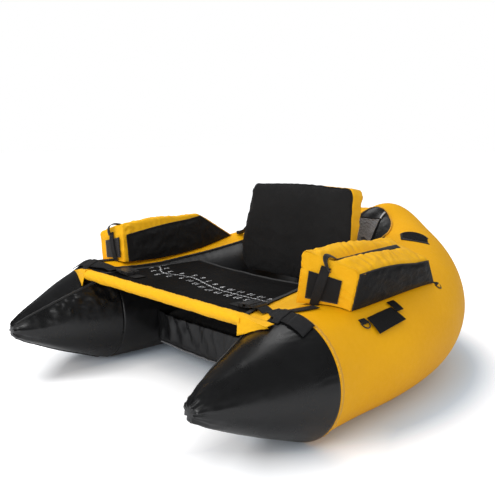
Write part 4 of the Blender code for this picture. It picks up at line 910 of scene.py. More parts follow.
@dataclass
class Hull:
    """The sewn cover of the tube: coloured top, dark underside, and the seams between them."""

    shape: HullShape
    finishes: Palette
    hatches: Sequence[ValveHatch]
    top_angles: Pair = (math.radians(-75), math.radians(113))
    under_angles: Pair = (math.radians(113), math.radians(285))
    columns: int = 84
    rows: int = 250
    mean_radius: float = 0.18
    wall: float = 0.0016
    seam_width: float = 0.0075
    seam_crown: float = 0.0010
    seam_wall: float = 0.0012
    hem_width: float = 0.009
    hem_crown: float = 0.0011
    hem_wall: float = 0.0010
    hem_share: float = 0.0052
    hem_groove: float = 0.0012
    end_gathers: Gathers = Gathers(0.017, 0.0009, 0.016)
    seam_gathers: Gathers = Gathers(0.026, 0.0009, 0.018)
    hollow_size: float = 0.12
    hollow_depth: float = 0.0011
    hatch_rim: float = 0.016

    def skin(self, share: float, angle: float) -> Vector:
        """Return a point of the cover with its gathers and slow hollows."""
        station = self.shape.station_at(share)
        radius = self.shape.ring(station)[2]
        length = self.shape.lengths[-1]
        from_end = min(share, 1 - share) * length
        lift = pucker(from_end, angle * radius, self.end_gathers)
        for edge in (*self.top_angles, self.under_angles[1]):
            lift += pucker(abs(angle - edge) * radius, share * length, self.seam_gathers)
        lift += self.hollow_depth * drift(share * length / self.hollow_size, angle * 1.3, 4)
        lift -= self.hem_groove * peak(from_end, 0.004, 0.006)
        return self.shape.point(station, angle, lift)

    def build_cover(self) -> None:
        """Make the coloured top, open over the valves, and the dark underside."""
        length = self.shape.lengths[-1]
        middle = self.shape.ring(self.shape.station_at(0.5))[0]
        for name, angles, columns, node, finish in (
                ("hull_top", self.top_angles, self.columns, "hull_cover", self.finishes.hull),
                ("hull_bottom", self.under_angles, self.columns // 2, "hull_under_panel",
                 self.finishes.under)):
            span = angles[1] - angles[0]

            def place(across: float, along: float) -> Vector:
                """Return the panel's point."""
                return self.skin(along, angles[0] + span * across)

            form = laid(columns, self.rows, (span * self.mean_radius, length), place)
            face_out(form, len(form.faces) // 2, middle)
            if name == "hull_top":
                self.open_hatches(form)
            put_piece(name, form, finish, (node,), self.wall)

    def open_hatches(self, form: Form) -> None:
        """Cut the openings over the valves, whose edges the stitched tapes hide."""
        for hatch in self.hatches:
            near = [face for face in form.faces
                    if hatch.covers(face.calc_center_median(), self.hatch_rim)]
            edges = list({edge for face in near for edge in face.edges})
            bmesh.ops.subdivide_edges(form, edges=edges, cuts=3, use_grid_fill=True)
            inside = [face for face in form.faces if hatch.covers(face.calc_center_median(), 0)]
            bmesh.ops.delete(form, geom=inside, context="FACES")

    def build_seams(self) -> None:
        """Make the stitched tapes along the seams, and the hems beside the cones."""
        length = self.shape.lengths[-1]
        start, turn = self.top_angles[0], self.top_angles[1] - self.top_angles[0]
        for name, angle in zip(("seam_outer", "seam_inner"), self.top_angles):
            def place(across: float, along: float) -> Vector:
                """Return the tape's point."""
                station = self.shape.station_at(along)
                here = angle + (across - 0.5) * self.seam_width / self.shape.ring(station)[2]
                crown = self.seam_crown * arched(across)
                return self.skin(along, here) + (
                    self.shape.point(station, here, crown) - self.shape.point(station, here))

            lay_piece(name, (4, self.rows), (self.seam_width, length), place, None,
                      self.finishes.black_seam, (), self.seam_wall, 0)
        for side in Side:
            share = self.hem_share if side is Side.RIGHT else 1 - self.hem_share

            def ring_place(across: float, along: float) -> Vector:
                """Return the point of the stitched hem beside the cone."""
                here = share + (across - 0.5) * self.hem_width / length * side.value
                centre = self.shape.ring(self.shape.station_at(here))[0]
                point = self.skin(here, start + turn * along)
                return point + (point - centre).normalized() * self.hem_crown * arched(across)

            lay_piece(f"cover_hem_{side.word}", (4, 150),
                      (self.hem_width, turn * self.shape.seam_radius), ring_place,
                      self.shape.ring(0 if side is Side.RIGHT else 4)[0],
                      self.finishes.yellow_seam, (), self.hem_wall, 0)

    def build(self) -> None:
        """Make the whole cover."""
        self.build_cover()
        self.build_seams()


@dataclass
class NoseCone:
    """One pointed end of the tube: a crumpled vinyl cone sewn from gores."""

    shape: HullShape
    finishes: Palette
    side: Side
    columns: int = 150
    rows: int = 60
    flat: Pair = (0.9, 0.31)
    length: float = 0.30
    wall: float = 0.0014
    seam_angles: tuple[float, ...] = (math.radians(126), math.radians(262))
    seam_shares: Pair = (0.03, 0.99)
    seam_width: float = 0.009
    seam_crown: float = 0.0024
    seam_lift: float = 0.0002
    seam_wall: float = 0.0010
    base_gathers: Gathers = Gathers(0.02, 0.0009, 0.03)
    seam_gathers: Gathers = Gathers(0.027, 0.0005, 0.020)
    tip_waves: float = 0.0045
    tip_creases: Creases = Creases(0.034, 0.0042)
    hollow_depth: float = 0.0022
    ridge_angle: float = math.radians(142)
    ridge_creases: Creases = Creases(0.042, 0.0032)
    corner_angle: float = math.radians(145)
    corner_creases: Creases = Creases(0.030, 0.0068)

    def skin(self, reach: float, angle: float, extra: float = 0) -> Vector:
        """Return a point of the cone with its folds.

        Args:
            reach: the share of the way from the tip to the seam.
            angle: from outward through up to inward.
            extra: a distance off the skin.

        Returns:
            The point.
        """
        centre, outward, radius = self.shape.cone_ring(self.side, reach)
        seed = 11.3 if self.side is Side.RIGHT else 2.7
        direction = outward * math.cos(angle) + UP * math.sin(angle)
        spot = centre + direction * radius
        near_tip = math.exp(-reach / 0.16)
        fold = drift(math.cos(angle) * 1.4, math.sin(angle) * 1.4, seed)
        lift = self.tip_waves * near_tip * math.sin(5 * angle + 7 * fold + seed)
        lift += near_tip * crease(spot + UP * seed, self.tip_creases)
        broad = drift(math.cos(angle) * 2.0, math.sin(angle) * 2.0, reach * 3 + seed)
        lift += self.hollow_depth * broad * ease(reach * 4) * ease((1 - reach) * 5)
        ridge = peak(angle, self.ridge_angle, 0.4) * ease((1 - reach) * 6)
        lift += ridge * crease(spot + Vector((seed, 0, 1)), self.ridge_creases)
        open_side = ease(min(angle % math.tau, math.tau - angle % math.tau) * 3)
        lift += open_side * pucker((1 - reach) * self.length, angle * radius, self.base_gathers)
        for seam in self.seam_angles:
            away = abs((angle - seam + math.pi) % math.tau - math.pi) * radius
            lift += pucker(away, reach * self.length, self.seam_gathers)
        if self.side is Side.LEFT:
            corner = peak(angle, self.corner_angle, 0.30) * ease((reach - 0.15) * 3)
            lift += corner * crease(spot, self.corner_creases)
        point = centre + direction * (radius + max(lift, -radius * 0.35) + extra)
        point.z = max(point.z, 0)
        return point

    def build(self) -> None:
        """Make the cone and its sewn seams."""
        first = 1 / self.rows
        middle = self.shape.cone_ring(self.side, 0.6)[0]
        name = self.side.word

        def place(across: float, along: float) -> Vector:
            """Return the cone's point; the first row closes the tip."""
            if along < first / 2:
                return self.shape.cone_ring(self.side, 0)[0]
            return self.skin((along - first) / (1 - first), math.tau * across)

        form = laid(self.columns, self.rows, self.flat, place, middle, True)
        put_piece(f"cone_{name}", form, self.finishes.vinyl, (f"nose_cone_{name}",), self.wall)
        start, end = self.seam_shares
        for number, seam in enumerate(self.seam_angles):
            def tape(across: float, along: float) -> Vector:
                """Return the seam tape's point."""
                reach = start + (end - start) * along
                radius = self.shape.cone_ring(self.side, reach)[2]
                angle = seam + (across - 0.5) * min(self.seam_width, radius * 0.5) / radius
                return self.skin(reach, angle, self.seam_crown * arched(across) + self.seam_lift)

            lay_piece(f"cone_seam_{number}_{name}", (4, 70), (self.seam_width, self.length), tape,
                      middle, self.finishes.black_seam, (), self.seam_wall, 0)


@dataclass
class ValveHatch:
    """The crescent-shaped zipped hatch over a valve."""

    shape: HullShape
    finishes: Palette
    side: Side
    station: float = 1.570
    angle: float = math.radians(83)
    length: float = 0.078
    width: float = 0.040
    bow: float = -0.013
    end_share: float = 0.93
    flap_lift: float = 0.0032
    flap_margin: float = 0.004
    flap_ripple: float = 0.0008
    fold_lift: float = 0.003
    fold_share: float = 0.45
    tape_width: float = 0.010
    tape_length: float = 0.30
    tape_gap: float = 0.0008
    tape_lift: float = 0.0012
    tape_crown: float = 0.0008
    wall: float = 0.0010
    zip_lift: float = 0.0036
    zip_margin: float = 0.0050
    zip_radius: float = 0.0013

    def point(self, along: float, across: float, lift: float, margin: float) -> Vector:
        """Return a point of the crescent.

        Args:
            along: -1 to 1 from end to end.
            across: 0 to 1 from the sewn edge to the zipped one.
            lift: the distance off the hull.
            margin: how far the outline is widened.

        Returns:
            The point.
        """
        bend = 1 - along ** 2
        low = self.bow * bend - margin
        high = self.bow * bend + self.width * math.sqrt(bend) + margin
        sternwards = low + (high - low) * across - (self.bow + self.width) / 2
        around = (self.length / 2 + margin) * along
        step = 1 / 14
        pace = (self.shape.ring(self.station + step)[0] - self.shape.ring(self.station)[0]).length
        station = self.station + sternwards * step / pace
        angle = self.angle + around / self.shape.ring(station)[2]
        return self.side.of(self.shape.point(station, angle, lift))

    def covers(self, spot: Vector, margin: float) -> bool:
        """Return whether the crescent, widened by a margin, covers a point of the hull."""
        away = spot - self.point(0, 0.5, 0, 0)
        if away.length > self.length:
            return False
        along_way = (self.point(1, 0, 0, 0) - self.point(-1, 0, 0, 0)).normalized()
        across_way = (self.point(0, 1, 0, 0) - self.point(0, 0, 0, 0)).normalized()
        along = away.dot(along_way) / (self.length / 2 + margin)
        if abs(along) >= self.end_share:
            return False
        bend = 1 - along ** 2
        low = self.bow * (bend - 1) - self.width / 2 - margin
        high = self.bow * (bend - 1) + self.width * (math.sqrt(bend) - 0.5) + margin
        return low < away.dot(across_way) < high

    def edge(self, share: float, lift: float, margin: float) -> Vector:
        """Return a point of the outline at a share of the way round it."""
        half, across = (share * 2, 0) if share < 0.5 else (2 - share * 2, 1)
        along = self.end_share * (2 * half - 1)
        return self.point(along, across, lift, margin)

    def build(self) -> None:
        """Make the flap, the zip's teeth along its edge and the stitched tape round it."""
        name = self.side.word
        below = self.side.of(self.shape.ring(self.station)[0])

        def flap_point(across: float, along: float) -> Vector:
            """Return the flap's point with its slight ripples."""
            ripple = self.flap_ripple * drift(across * 5, along * 12, 2)
            return self.point(self.end_share * (2 * along - 1), across, self.flap_lift + ripple,
                              self.flap_margin)

        def tape_point(across: float, along: float) -> Vector:
            """Return the point of the tape round the flap."""
            return self.edge(along, self.tape_lift + self.tape_crown * arched(across),
                             self.tape_gap + self.tape_width * across)

        flap = lay_piece(f"hatch_flap_{name}", (10, 36), (self.width, self.length), flap_point,
                         below, self.finishes.panel, (f"valve_flap_{name}",), self.wall,
                         body=f"valve_flap_{name}", rides=False)
        self.point(0, 0, self.fold_lift, 0)
        self.point(0, self.fold_share, self.fold_lift, 0)
        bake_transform(flap)
        lay_piece(f"hatch_tape_{name}", (4, 120), (self.tape_width, self.tape_length), tape_point,
                  below, self.finishes.grey_stitch, (), self.wall, 0)
        points = [self.edge(0.5 + 0.5 * step / 60, self.zip_lift, self.zip_margin) for step in range(61)]
        corded(f"hatch_zip_{name}", points, self.zip_radius, self.finishes.plastic)


@dataclass
class Stern:
    """The dark panel and the storage net inside the stern."""

    shape: HullShape
    finishes: Palette
    half_span: float = 0.41
    angles: Pair = (math.radians(97.5), math.radians(151))
    low_angle: float = math.radians(118)
    ear_inside: float = 0.215
    ear_slope: float = 0.15
    ear_outside: float = 0.20
    panel_flat: Pair = (0.56, 0.23)
    panel_lift: float = 0.0036
    panel_wall: float = 0.0012
    panel_creases: Creases = Creases(0.045, 0.0022)
    edge_lift: float = 0.0030
    edge_radius: float = 0.0024
    net_front_y: float = 0.196
    net_rear_y: float = 0.372
    net_bow: float = 0.045
    net_half: float = 0.198
    net_taper: float = 0.050
    net_height: float = 0.309
    net_slope: float = 0.110
    net_sag: float = 0.020
    net_free: Pair = (0.14, 0.26)
    net_lift: float = 0.0055
    net_flat: Pair = (0.33, 0.22)
    net_cord: float = 0.0015
    loop_length: float = 0.024
    loop_lift: float = 0.0085
    loop_radius: float = 0.0028

    def panel_point(self, across: float, along: float, lift: float) -> Vector:
        """Return a point of the panel, which reaches up in a round ear on either side."""
        away = self.half_span * (2 * across - 1)
        inner = ease((self.ear_inside - abs(away)) / self.ear_slope)
        past = max((abs(away) - self.ear_outside) / (self.half_span - self.ear_outside), 0)
        outer = 1 - math.sqrt(1 - past ** 2)
        top = self.angles[0] + (self.low_angle - self.angles[0]) * max(inner, outer)
        return self.shape.point(2 + away, top + (self.angles[1] - top) * along, lift)

    def build_panel(self) -> None:
        """Make the glossy panel and the tape round its edge."""
        def place(across: float, along: float) -> Vector:
            """Return the panel's point with its soft folds."""
            edge = min(across, 1 - across, along) * 8
            fold = crease(self.panel_point(across, along, 0), self.panel_creases) * ease(edge)
            return self.panel_point(across, along, self.panel_lift + max(fold, -0.001))

        panel = lay_piece("stern_panel", (80, 40), self.panel_flat, place, self.shape.ring(2)[0],
                          self.finishes.vinyl, ("stern_inner_panel",), self.panel_wall)
        points = []
        for step in range(61):
            share = step / 60
            across = min(max(2 * share - 0.5, 0), 1)
            along = max(1 - 4 * share, 4 * share - 3, 0)
            points.append(self.panel_point(across, along, self.edge_lift))
        corded("stern_panel_edge", points, self.edge_radius, self.finishes.yellow_seam)

    def net_point(self, across: float, along: float) -> Vector:
        """Return a point of the net, which hangs between its two rear corners."""
        side = 2 * across - 1
        middle = 1 - side ** 2
        rear_y = self.net_rear_y - self.net_bow * middle
        y = self.net_front_y + (rear_y - self.net_front_y) * along
        x = (self.net_half - self.net_taper * along) * side
        height = self.net_height + self.net_slope * along - self.net_sag * middle * (0.3 + along)
        if y > self.net_free[1] or abs(x) > self.net_free[0]:
            height = max(height, self.shape.height(x, y, self.net_lift))
        return Vector((x, y, height))

    def build_net(self) -> None:
        """Make the fine net, its bound edge and its corner loops."""
        form = laid(74, 46, self.net_flat, self.net_point, Vector((0, 0.3, 0)))
        bmesh.ops.wireframe(form, faces=form.faces, thickness=self.net_cord, use_replace=True,
                            use_boundary=True, use_even_offset=False)
        put_piece("storage_net", form, self.finishes.net, ("cargo_net",))
        border = [self.net_point(step / 30, 0) for step in range(31)]
        border += [self.net_point(1, step / 20) for step in range(1, 21)]
        border += [self.net_point(1 - step / 30, 1) for step in range(1, 31)]
        border += [self.net_point(0, 1 - step / 20) for step in range(1, 20)]
        corded("net_binding", border, self.edge_radius, self.finishes.black, closed=True)
        for side in Side:
            corner = side.of(self.net_point(1, 1))
            points = [corner + Vector((0, self.loop_length * step / 4, 0)) for step in range(5)]
            for point in points[1:]:
                point.z = self.shape.height(point.x, point.y, self.loop_lift)
            corded(f"net_loop_{side.word}", points, self.loop_radius, self.finishes.net)

    def build(self) -> None:
        """Make the whole stern."""
        self.build_panel()
        self.build_net()


@dataclass
class Seat:
    """The slung seat: its cushion, the sling that carries it and the piping along its front."""

    shape: HullShape
    finishes: Palette
    front_y: float = -0.258
    length: float = 0.300
    bottom: float = 0.064
    height: float = 0.086
    crown: float = 0.026
    side_gap: float = 0.012
    flank_gap: float = 0.0035
    overhang: float = 0.004
    voxel: float = 0.007
    pressure: float = 3.0
    swell_limit: float = 0.012
    channels_y: Pair = (-0.16, -0.06)
    channel_depth: float = 0.009
    channel_width: float = 0.010
    channel_gathers: Gathers = Gathers(0.024, 0.0014, 0.02)
    front_creases: Creases = Creases(0.040, 0.006)
    sling_top: float = 0.166
    sling_gap: float = 0.0022
    sling_sag: float = 0.008
    sling_rise: float = 0.010
    sling_flat: Pair = (0.74, 0.31)
    sling_wall: float = 0.0015
    sling_creases: Creases = Creases(0.05, 0.003)
    front_flat: Pair = (0.52, 0.11)
    front_gap: float = 0.0055
    front_wall: float = 0.0012
    front_folds: Creases = Creases(0.06, 0.005)
    pleat: float = 0.0105
    pleat_depth: float = 0.010
    pleats_x: float = -0.15
    pleats_width: float = 0.075
    piping_radius: float = 0.0026

    def reach(self, y: float) -> float:
        """Return how far out the tube's inside flank lies at a place along it."""
        def flank(station: float) -> Vector:
            """Return the innermost point of a ring."""
            centre, outward, radius = self.shape.ring(station)
            return centre - outward * radius

        return flank(last_where(0.0, 2.0, lambda station: flank(station).y < y)).x

    def build_cushion(self) -> None:
        """Blow up the cushion, draw in its front edge and sew its channels."""
        form = bmesh.new()
        bmesh.ops.create_cube(form, size=1)
        bmesh.ops.subdivide_edges(form, edges=form.edges, cuts=7, use_grid_fill=True)
        for vert in form.verts:
            share = vert.co.copy()
            y = self.front_y + self.length * (share.y + 0.5)
            x = 2 * share.x * (self.reach(y) - self.side_gap)
            round_off = 1 - 0.10 * (2 * abs(share.z)) ** 3
            z = self.bottom + 0.010 + self.height * (share.z + 0.5)
            if share.z > 0:
                z += self.crown * 0.5 * (1 - (2 * share.x) ** 4) * (1 - (2 * share.y) ** 4)
            vert.co = Vector((x * round_off, y, z))
        form = inflate(form, self.voxel, self.pressure, self.swell_limit)
        first, last = self.front_y - self.overhang, self.front_y + self.length + self.overhang
        for vert in form.verts:
            spot = vert.co
            top = ease((spot.z - self.bottom - 0.03) / 0.05)
            channel = min(abs(spot.y - y) for y in self.channels_y)
            spot.z -= self.channel_depth * top * peak(channel, 0, self.channel_width)
            front = ease(1 - (spot.y - self.front_y) / 0.05)
            spot.y += crease(spot, self.front_creases) * front
            spot.z += pucker(channel, spot.x, self.channel_gathers) * top
            spot.y = min(max(spot.y, first), last)
            spot.z = max(spot.z, self.bottom + self.overhang)
            flank = self.reach(spot.y) - self.flank_gap
            spot.x = min(max(spot.x, -flank), flank)
        map_flat(form, Vector((1, 0, 0)), Vector((0, 0.8, 0.6)))
        cushion = put_piece("cushion", form, self.finishes.black, ("seat_cushion",), smooth=1)

    def sling_point(self, across: float, along: float) -> Vector:
        """Return the sling's point, from one flank under the cushion to the other."""
        y = self.front_y - self.overhang + (self.length + 2 * self.overhang) * along
        half = self.reach(y) - self.sling_gap
        side = 2 * across - 1
        rise = ease((abs(side) - 0.80) / 0.20)
        x = half * math.copysign(min(abs(side) / 0.86, 1), side)
        wall = max(abs(side) - 0.86, 0) / 0.14
        z = self.bottom - self.sling_sag * (1 - side ** 2) + self.sling_rise * rise
        z += (self.sling_top - self.bottom - self.sling_rise) * wall
        fold = crease(Vector((x, y, z + 3)), self.sling_creases) * (1 - rise)
        return Vector((x, y, z + fold))

    def front_point(self, across: float, along: float) -> Vector:
        """Return the point of the sling's front, which hangs in pleats before the cushion."""
        half = self.reach(self.front_y) - self.sling_gap
        x = half * (2 * across - 1)
        z = self.bottom - self.sling_sag * (1 - (x / half) ** 2)
        z += (self.sling_top - self.bottom) * along
        wander = 3 * drift(x / 0.06, z / 0.09, 1)
        hang = 0.5 + 0.5 * math.sin((x + 0.5 * (z - 0.1)) / self.pleat + wander)
        pleats = self.pleat_depth * peak(x, self.pleats_x, self.pleats_width) * hang
        fold = crease(Vector((x * 1.5, 3, z * 0.7)), self.front_folds)
        edge = ease(min(across, 1 - across) * 20) * ease(along * 5)
        depth = (self.overhang + pleats + max(fold, 0)) * edge
        return Vector((x, self.front_y - self.front_gap - depth, z))

    def build_sling(self) -> None:
        """Make the sling, its hanging front and the pale piping between them."""
        middle = Vector((0, self.front_y + self.length / 2, 0.3))
        sling = lay_piece("sling", (80, 40), self.sling_flat, self.sling_point, middle,
                          self.finishes.black, ("seat_sling",), self.sling_wall)
        middle.z = 0.1
        panel = lay_piece("seat_front", (110, 26), self.front_flat, self.front_point, middle,
                          self.finishes.under, (), self.front_wall)
        points = [self.sling_point(step / 60, 0) - Vector((0, 0.003, 0)) for step in range(6, 55)]
        corded("seat_piping", points, self.piping_radius, self.finishes.trim, ("seat_front_piping",))

    def build(self) -> None:
        """Make the whole seat."""
        self.build_cushion()
        self.build_sling()


@dataclass
class Backrest:
    """The inflated backrest: dark face, coloured sides and back, sewn round its edges."""

    finishes: Palette
    pivot: Vector = field(default_factory=lambda: Vector((0, 0.080, 0.250)))
    lean: float = math.radians(11)
    height: float = 0.312
    thickness: float = 0.060
    foot_thickness: float = 0.034
    foot_half: float = 0.216
    widest_half: float = 0.243
    widest_up: float = 0.110
    top_half: float = 0.222
    crown: float = 0.012
    top_corner: float = 0.026
    foot_corner: float = 0.040
    voxel: float = 0.006
    pressure: float = 4.0
    wall: float = 0.0014
    front_seam: float = 0.008
    front_tilt: Pair = (0.020, 0.016)
    rear_seam: float = 0.003
    foot_seam: float = 0.014
    piping_radius: float = 0.0022
    face_gathers: Gathers = Gathers(0.034, 0.0010, 0.022)
    back_gathers: Gathers = Gathers(0.027, 0.0012, 0.014)
    face_creases: Creases = Creases(0.11, 0.0020)
    corner_swell: float = 0.004
    top_puffs: tuple[float, float, float] = (0.009, 0.007, 0.010)
    left_width: float = 0.016
    right_trim: float = 0.004

    def place(self) -> Matrix:
        """Return the backrest's place: X across, Y through it and Z up its face."""
        return Matrix.Translation(self.pivot) @ Matrix.Rotation(-self.lean, 4, "X")

    def half_width(self, up: float) -> float:
        """Return half the outline's width at a height up its face, with its round corners."""
        if up < self.widest_up:
            half = self.foot_half + (self.widest_half - self.foot_half) * math.sin(
                math.pi / 2 * up / self.widest_up)
        else:
            half = self.widest_half + (self.top_half - self.widest_half) * (
                (up - self.widest_up) / (self.height - self.widest_up)) ** 1.3
        for edge, corner in ((up, self.foot_corner), (self.height - up, self.top_corner)):
            near = max(corner - edge, 0)
            half -= corner - math.sqrt(max(corner ** 2 - near ** 2, 0))
        return half

    def depth(self, up: float) -> float:
        """Return the pad's thickness at a height up its face."""
        return self.foot_thickness + (self.thickness - self.foot_thickness) * up / self.height

    def build_form(self) -> Form:
        """Make the closed pad in its own place and blow it up."""
        form = bmesh.new()
        bmesh.ops.create_cube(form, size=1)
        bmesh.ops.subdivide_edges(form, edges=form.edges, cuts=15, use_grid_fill=True)
        room = self.voxel
        for vert in form.verts:
            share = vert.co.copy()
            up = room + (self.height - 2 * room) * (share.z + 0.5)
            x = 2 * share.x * (self.half_width(up) - 0.007)
            dome = (1 - (2 * share.x) ** 4) * (1 - (2 * share.z) ** 4)
            y = room / 2 + (self.depth(up) - room) * (share.y + 0.5)
            y += dome * (-self.crown if share.y < 0 else self.crown / 2) * 2 * abs(share.y)
            vert.co = Vector((x, y, up))
        return inflate(form, self.voxel, self.pressure, room)

    def finish_form(self, form: Form) -> None:
        """Gather the cloth beside the seams, fold it softly over the face and puff its top."""
        bmesh.ops.subdivide_edges(form, edges=form.edges, cuts=1, use_grid_fill=True, smooth=0.0)
        form.normal_update()
        for vert in form.verts:
            spot = vert.co
            up = min(max(spot.z, 0.001), self.height - 0.001)
            from_back = abs(spot.y - (self.depth(up) - self.rear_seam))
            edge = min(self.half_width(up) - abs(spot.x), self.height - spot.z, spot.z)
            beside = max(edge, 0) if spot.y < 0.009 else abs(spot.y - 0.009)
            run = spot.x + spot.z
            share = spot.x / self.top_half
            lift = pucker(beside, run, self.face_gathers)
            lift += pucker(from_back, run, self.back_gathers)
            face = ease((0.006 - spot.y) / 0.01)
            lift += face * crease(Vector((spot.x, 2.0, spot.z * 1.4)), self.face_creases)
            lift += self.corner_swell * share ** 10 * ease((spot.z - 0.24) / 0.07)
            even, right, middle = self.top_puffs
            puff = even + right * share + middle * max(1 - share ** 2, 0)
            wider = self.left_width * ease(-share) + self.right_trim * ease(share)
            vert.co = spot + vert.normal * lift + UP * puff * ease((spot.z - 0.10) / 0.21)
            vert.co.x -= wider

    def build(self) -> None:
        """Make the whole backrest from one blown-up form, cut along its two seams."""
        form = self.build_form()
        self.finish_form(form)
        slope = (self.thickness - self.foot_thickness) / self.height
        front = Vector((0, self.front_seam, 0.15))
        front_way = Vector((self.front_tilt[0], 1, self.front_tilt[1])).normalized()
        rear = Vector((0, self.foot_thickness - self.rear_seam, 0))
        rear_way = Vector((0, 1, -slope)).normalized()
        foot = Vector((0, 0, self.foot_seam))
        for point, normal in ((front, front_way), (rear, rear_way), (foot, UP)):
            bmesh.ops.bisect_plane(form, geom=form.verts[:] + form.edges[:] + form.faces[:],
                                   plane_co=point, plane_no=normal)
        place = self.place()

        def zone_of(spot: Vector) -> str:
            """Return the zone that a point of the pad belongs to."""
            if (spot - front).dot(front_way) < 0 or spot.z < self.foot_seam:
                return "face"
            return "sides" if (spot - rear).dot(rear_way) < 0 else "rear"

        for word, finish, nodes in (("face", self.finishes.black, ("backrest_front", "backrest_pad")),
                                    ("sides", self.finishes.yellow, ("backrest_gusset",)),
                                    ("rear", self.finishes.yellow, ("backrest_back",))):
            zone = form.copy()
            far = [face for face in zone.faces if zone_of(face.calc_center_median()) != word]
            bmesh.ops.delete(zone, geom=far, context="FACES")
            map_flat(zone, Vector((1, 0, 0)), Vector((0, 0.5, 0.87)))
            edge = [place @ point for point in self.edge_line(zone)]
            bmesh.ops.transform(zone, verts=zone.verts, matrix=place)
            piece = put_piece(f"backrest_{word}", zone, finish, nodes, self.wall, body="backrest")
            if word != "sides":
                corded(f"backrest_{word}_piping", edge, self.piping_radius, finish,
                       body="backrest", closed=True)
        form.free()

    @staticmethod
    def edge_line(form: Form) -> list[Vector]:
        """Return the points of a form's longest open edge in order, evened out."""
        border = {edge for edge in form.edges if len(edge.link_faces) == 1}
        best: list[Vector] = []
        while border:
            edge = border.pop()
            vert, points = edge.verts[1], [edge.verts[0].co.copy(), edge.verts[1].co.copy()]
            while True:
                ahead = next((item for item in vert.link_edges if item in border), None)
                if ahead is None:
                    break
                border.remove(ahead)
                vert = ahead.other_vert(vert)
                points.append(vert.co.copy())
            if len(points) > len(best):
                best = points
        for _ in range(6):
            best = [(best[i - 1] + best[i] * 2 + best[(i + 1) % len(best)]) / 4 for i in range(len(best))]
        return best[::2]


@dataclass(frozen=True)
class BagCorners:
    """Where a right-hand pocket's corners lie, each as its inner and its outer one."""

    front_feet: tuple[Vector, Vector]
    front_tops: tuple[Vector, Vector]
    rear_feet: tuple[Vector, Vector] = (Vector((0.366, 0.160, 0)), Vector((0.480, 0.172, 0)))
    rear_tops: tuple[Vector, Vector] = (Vector((0.388, 0.055, 0.446)), Vector((0.500, 0.102, 0.391)))


NEAR_BAG = BagCorners((Vector((0.366, -0.289, 0)), Vector((0.481, -0.214, 0))),
                      (Vector((0.390, -0.292, 0.452)), Vector((0.500, -0.206, 0.401))))
FAR_BAG = BagCorners((Vector((0.366, -0.312, 0)), Vector((0.490, -0.318, 0))),
                     (Vector((0.388, -0.303, 0.436)), Vector((0.500, -0.318, 0.398))),
                     rear_tops=(Vector((0.386, 0.010, 0.444)), Vector((0.488, 0.040, 0.408))))


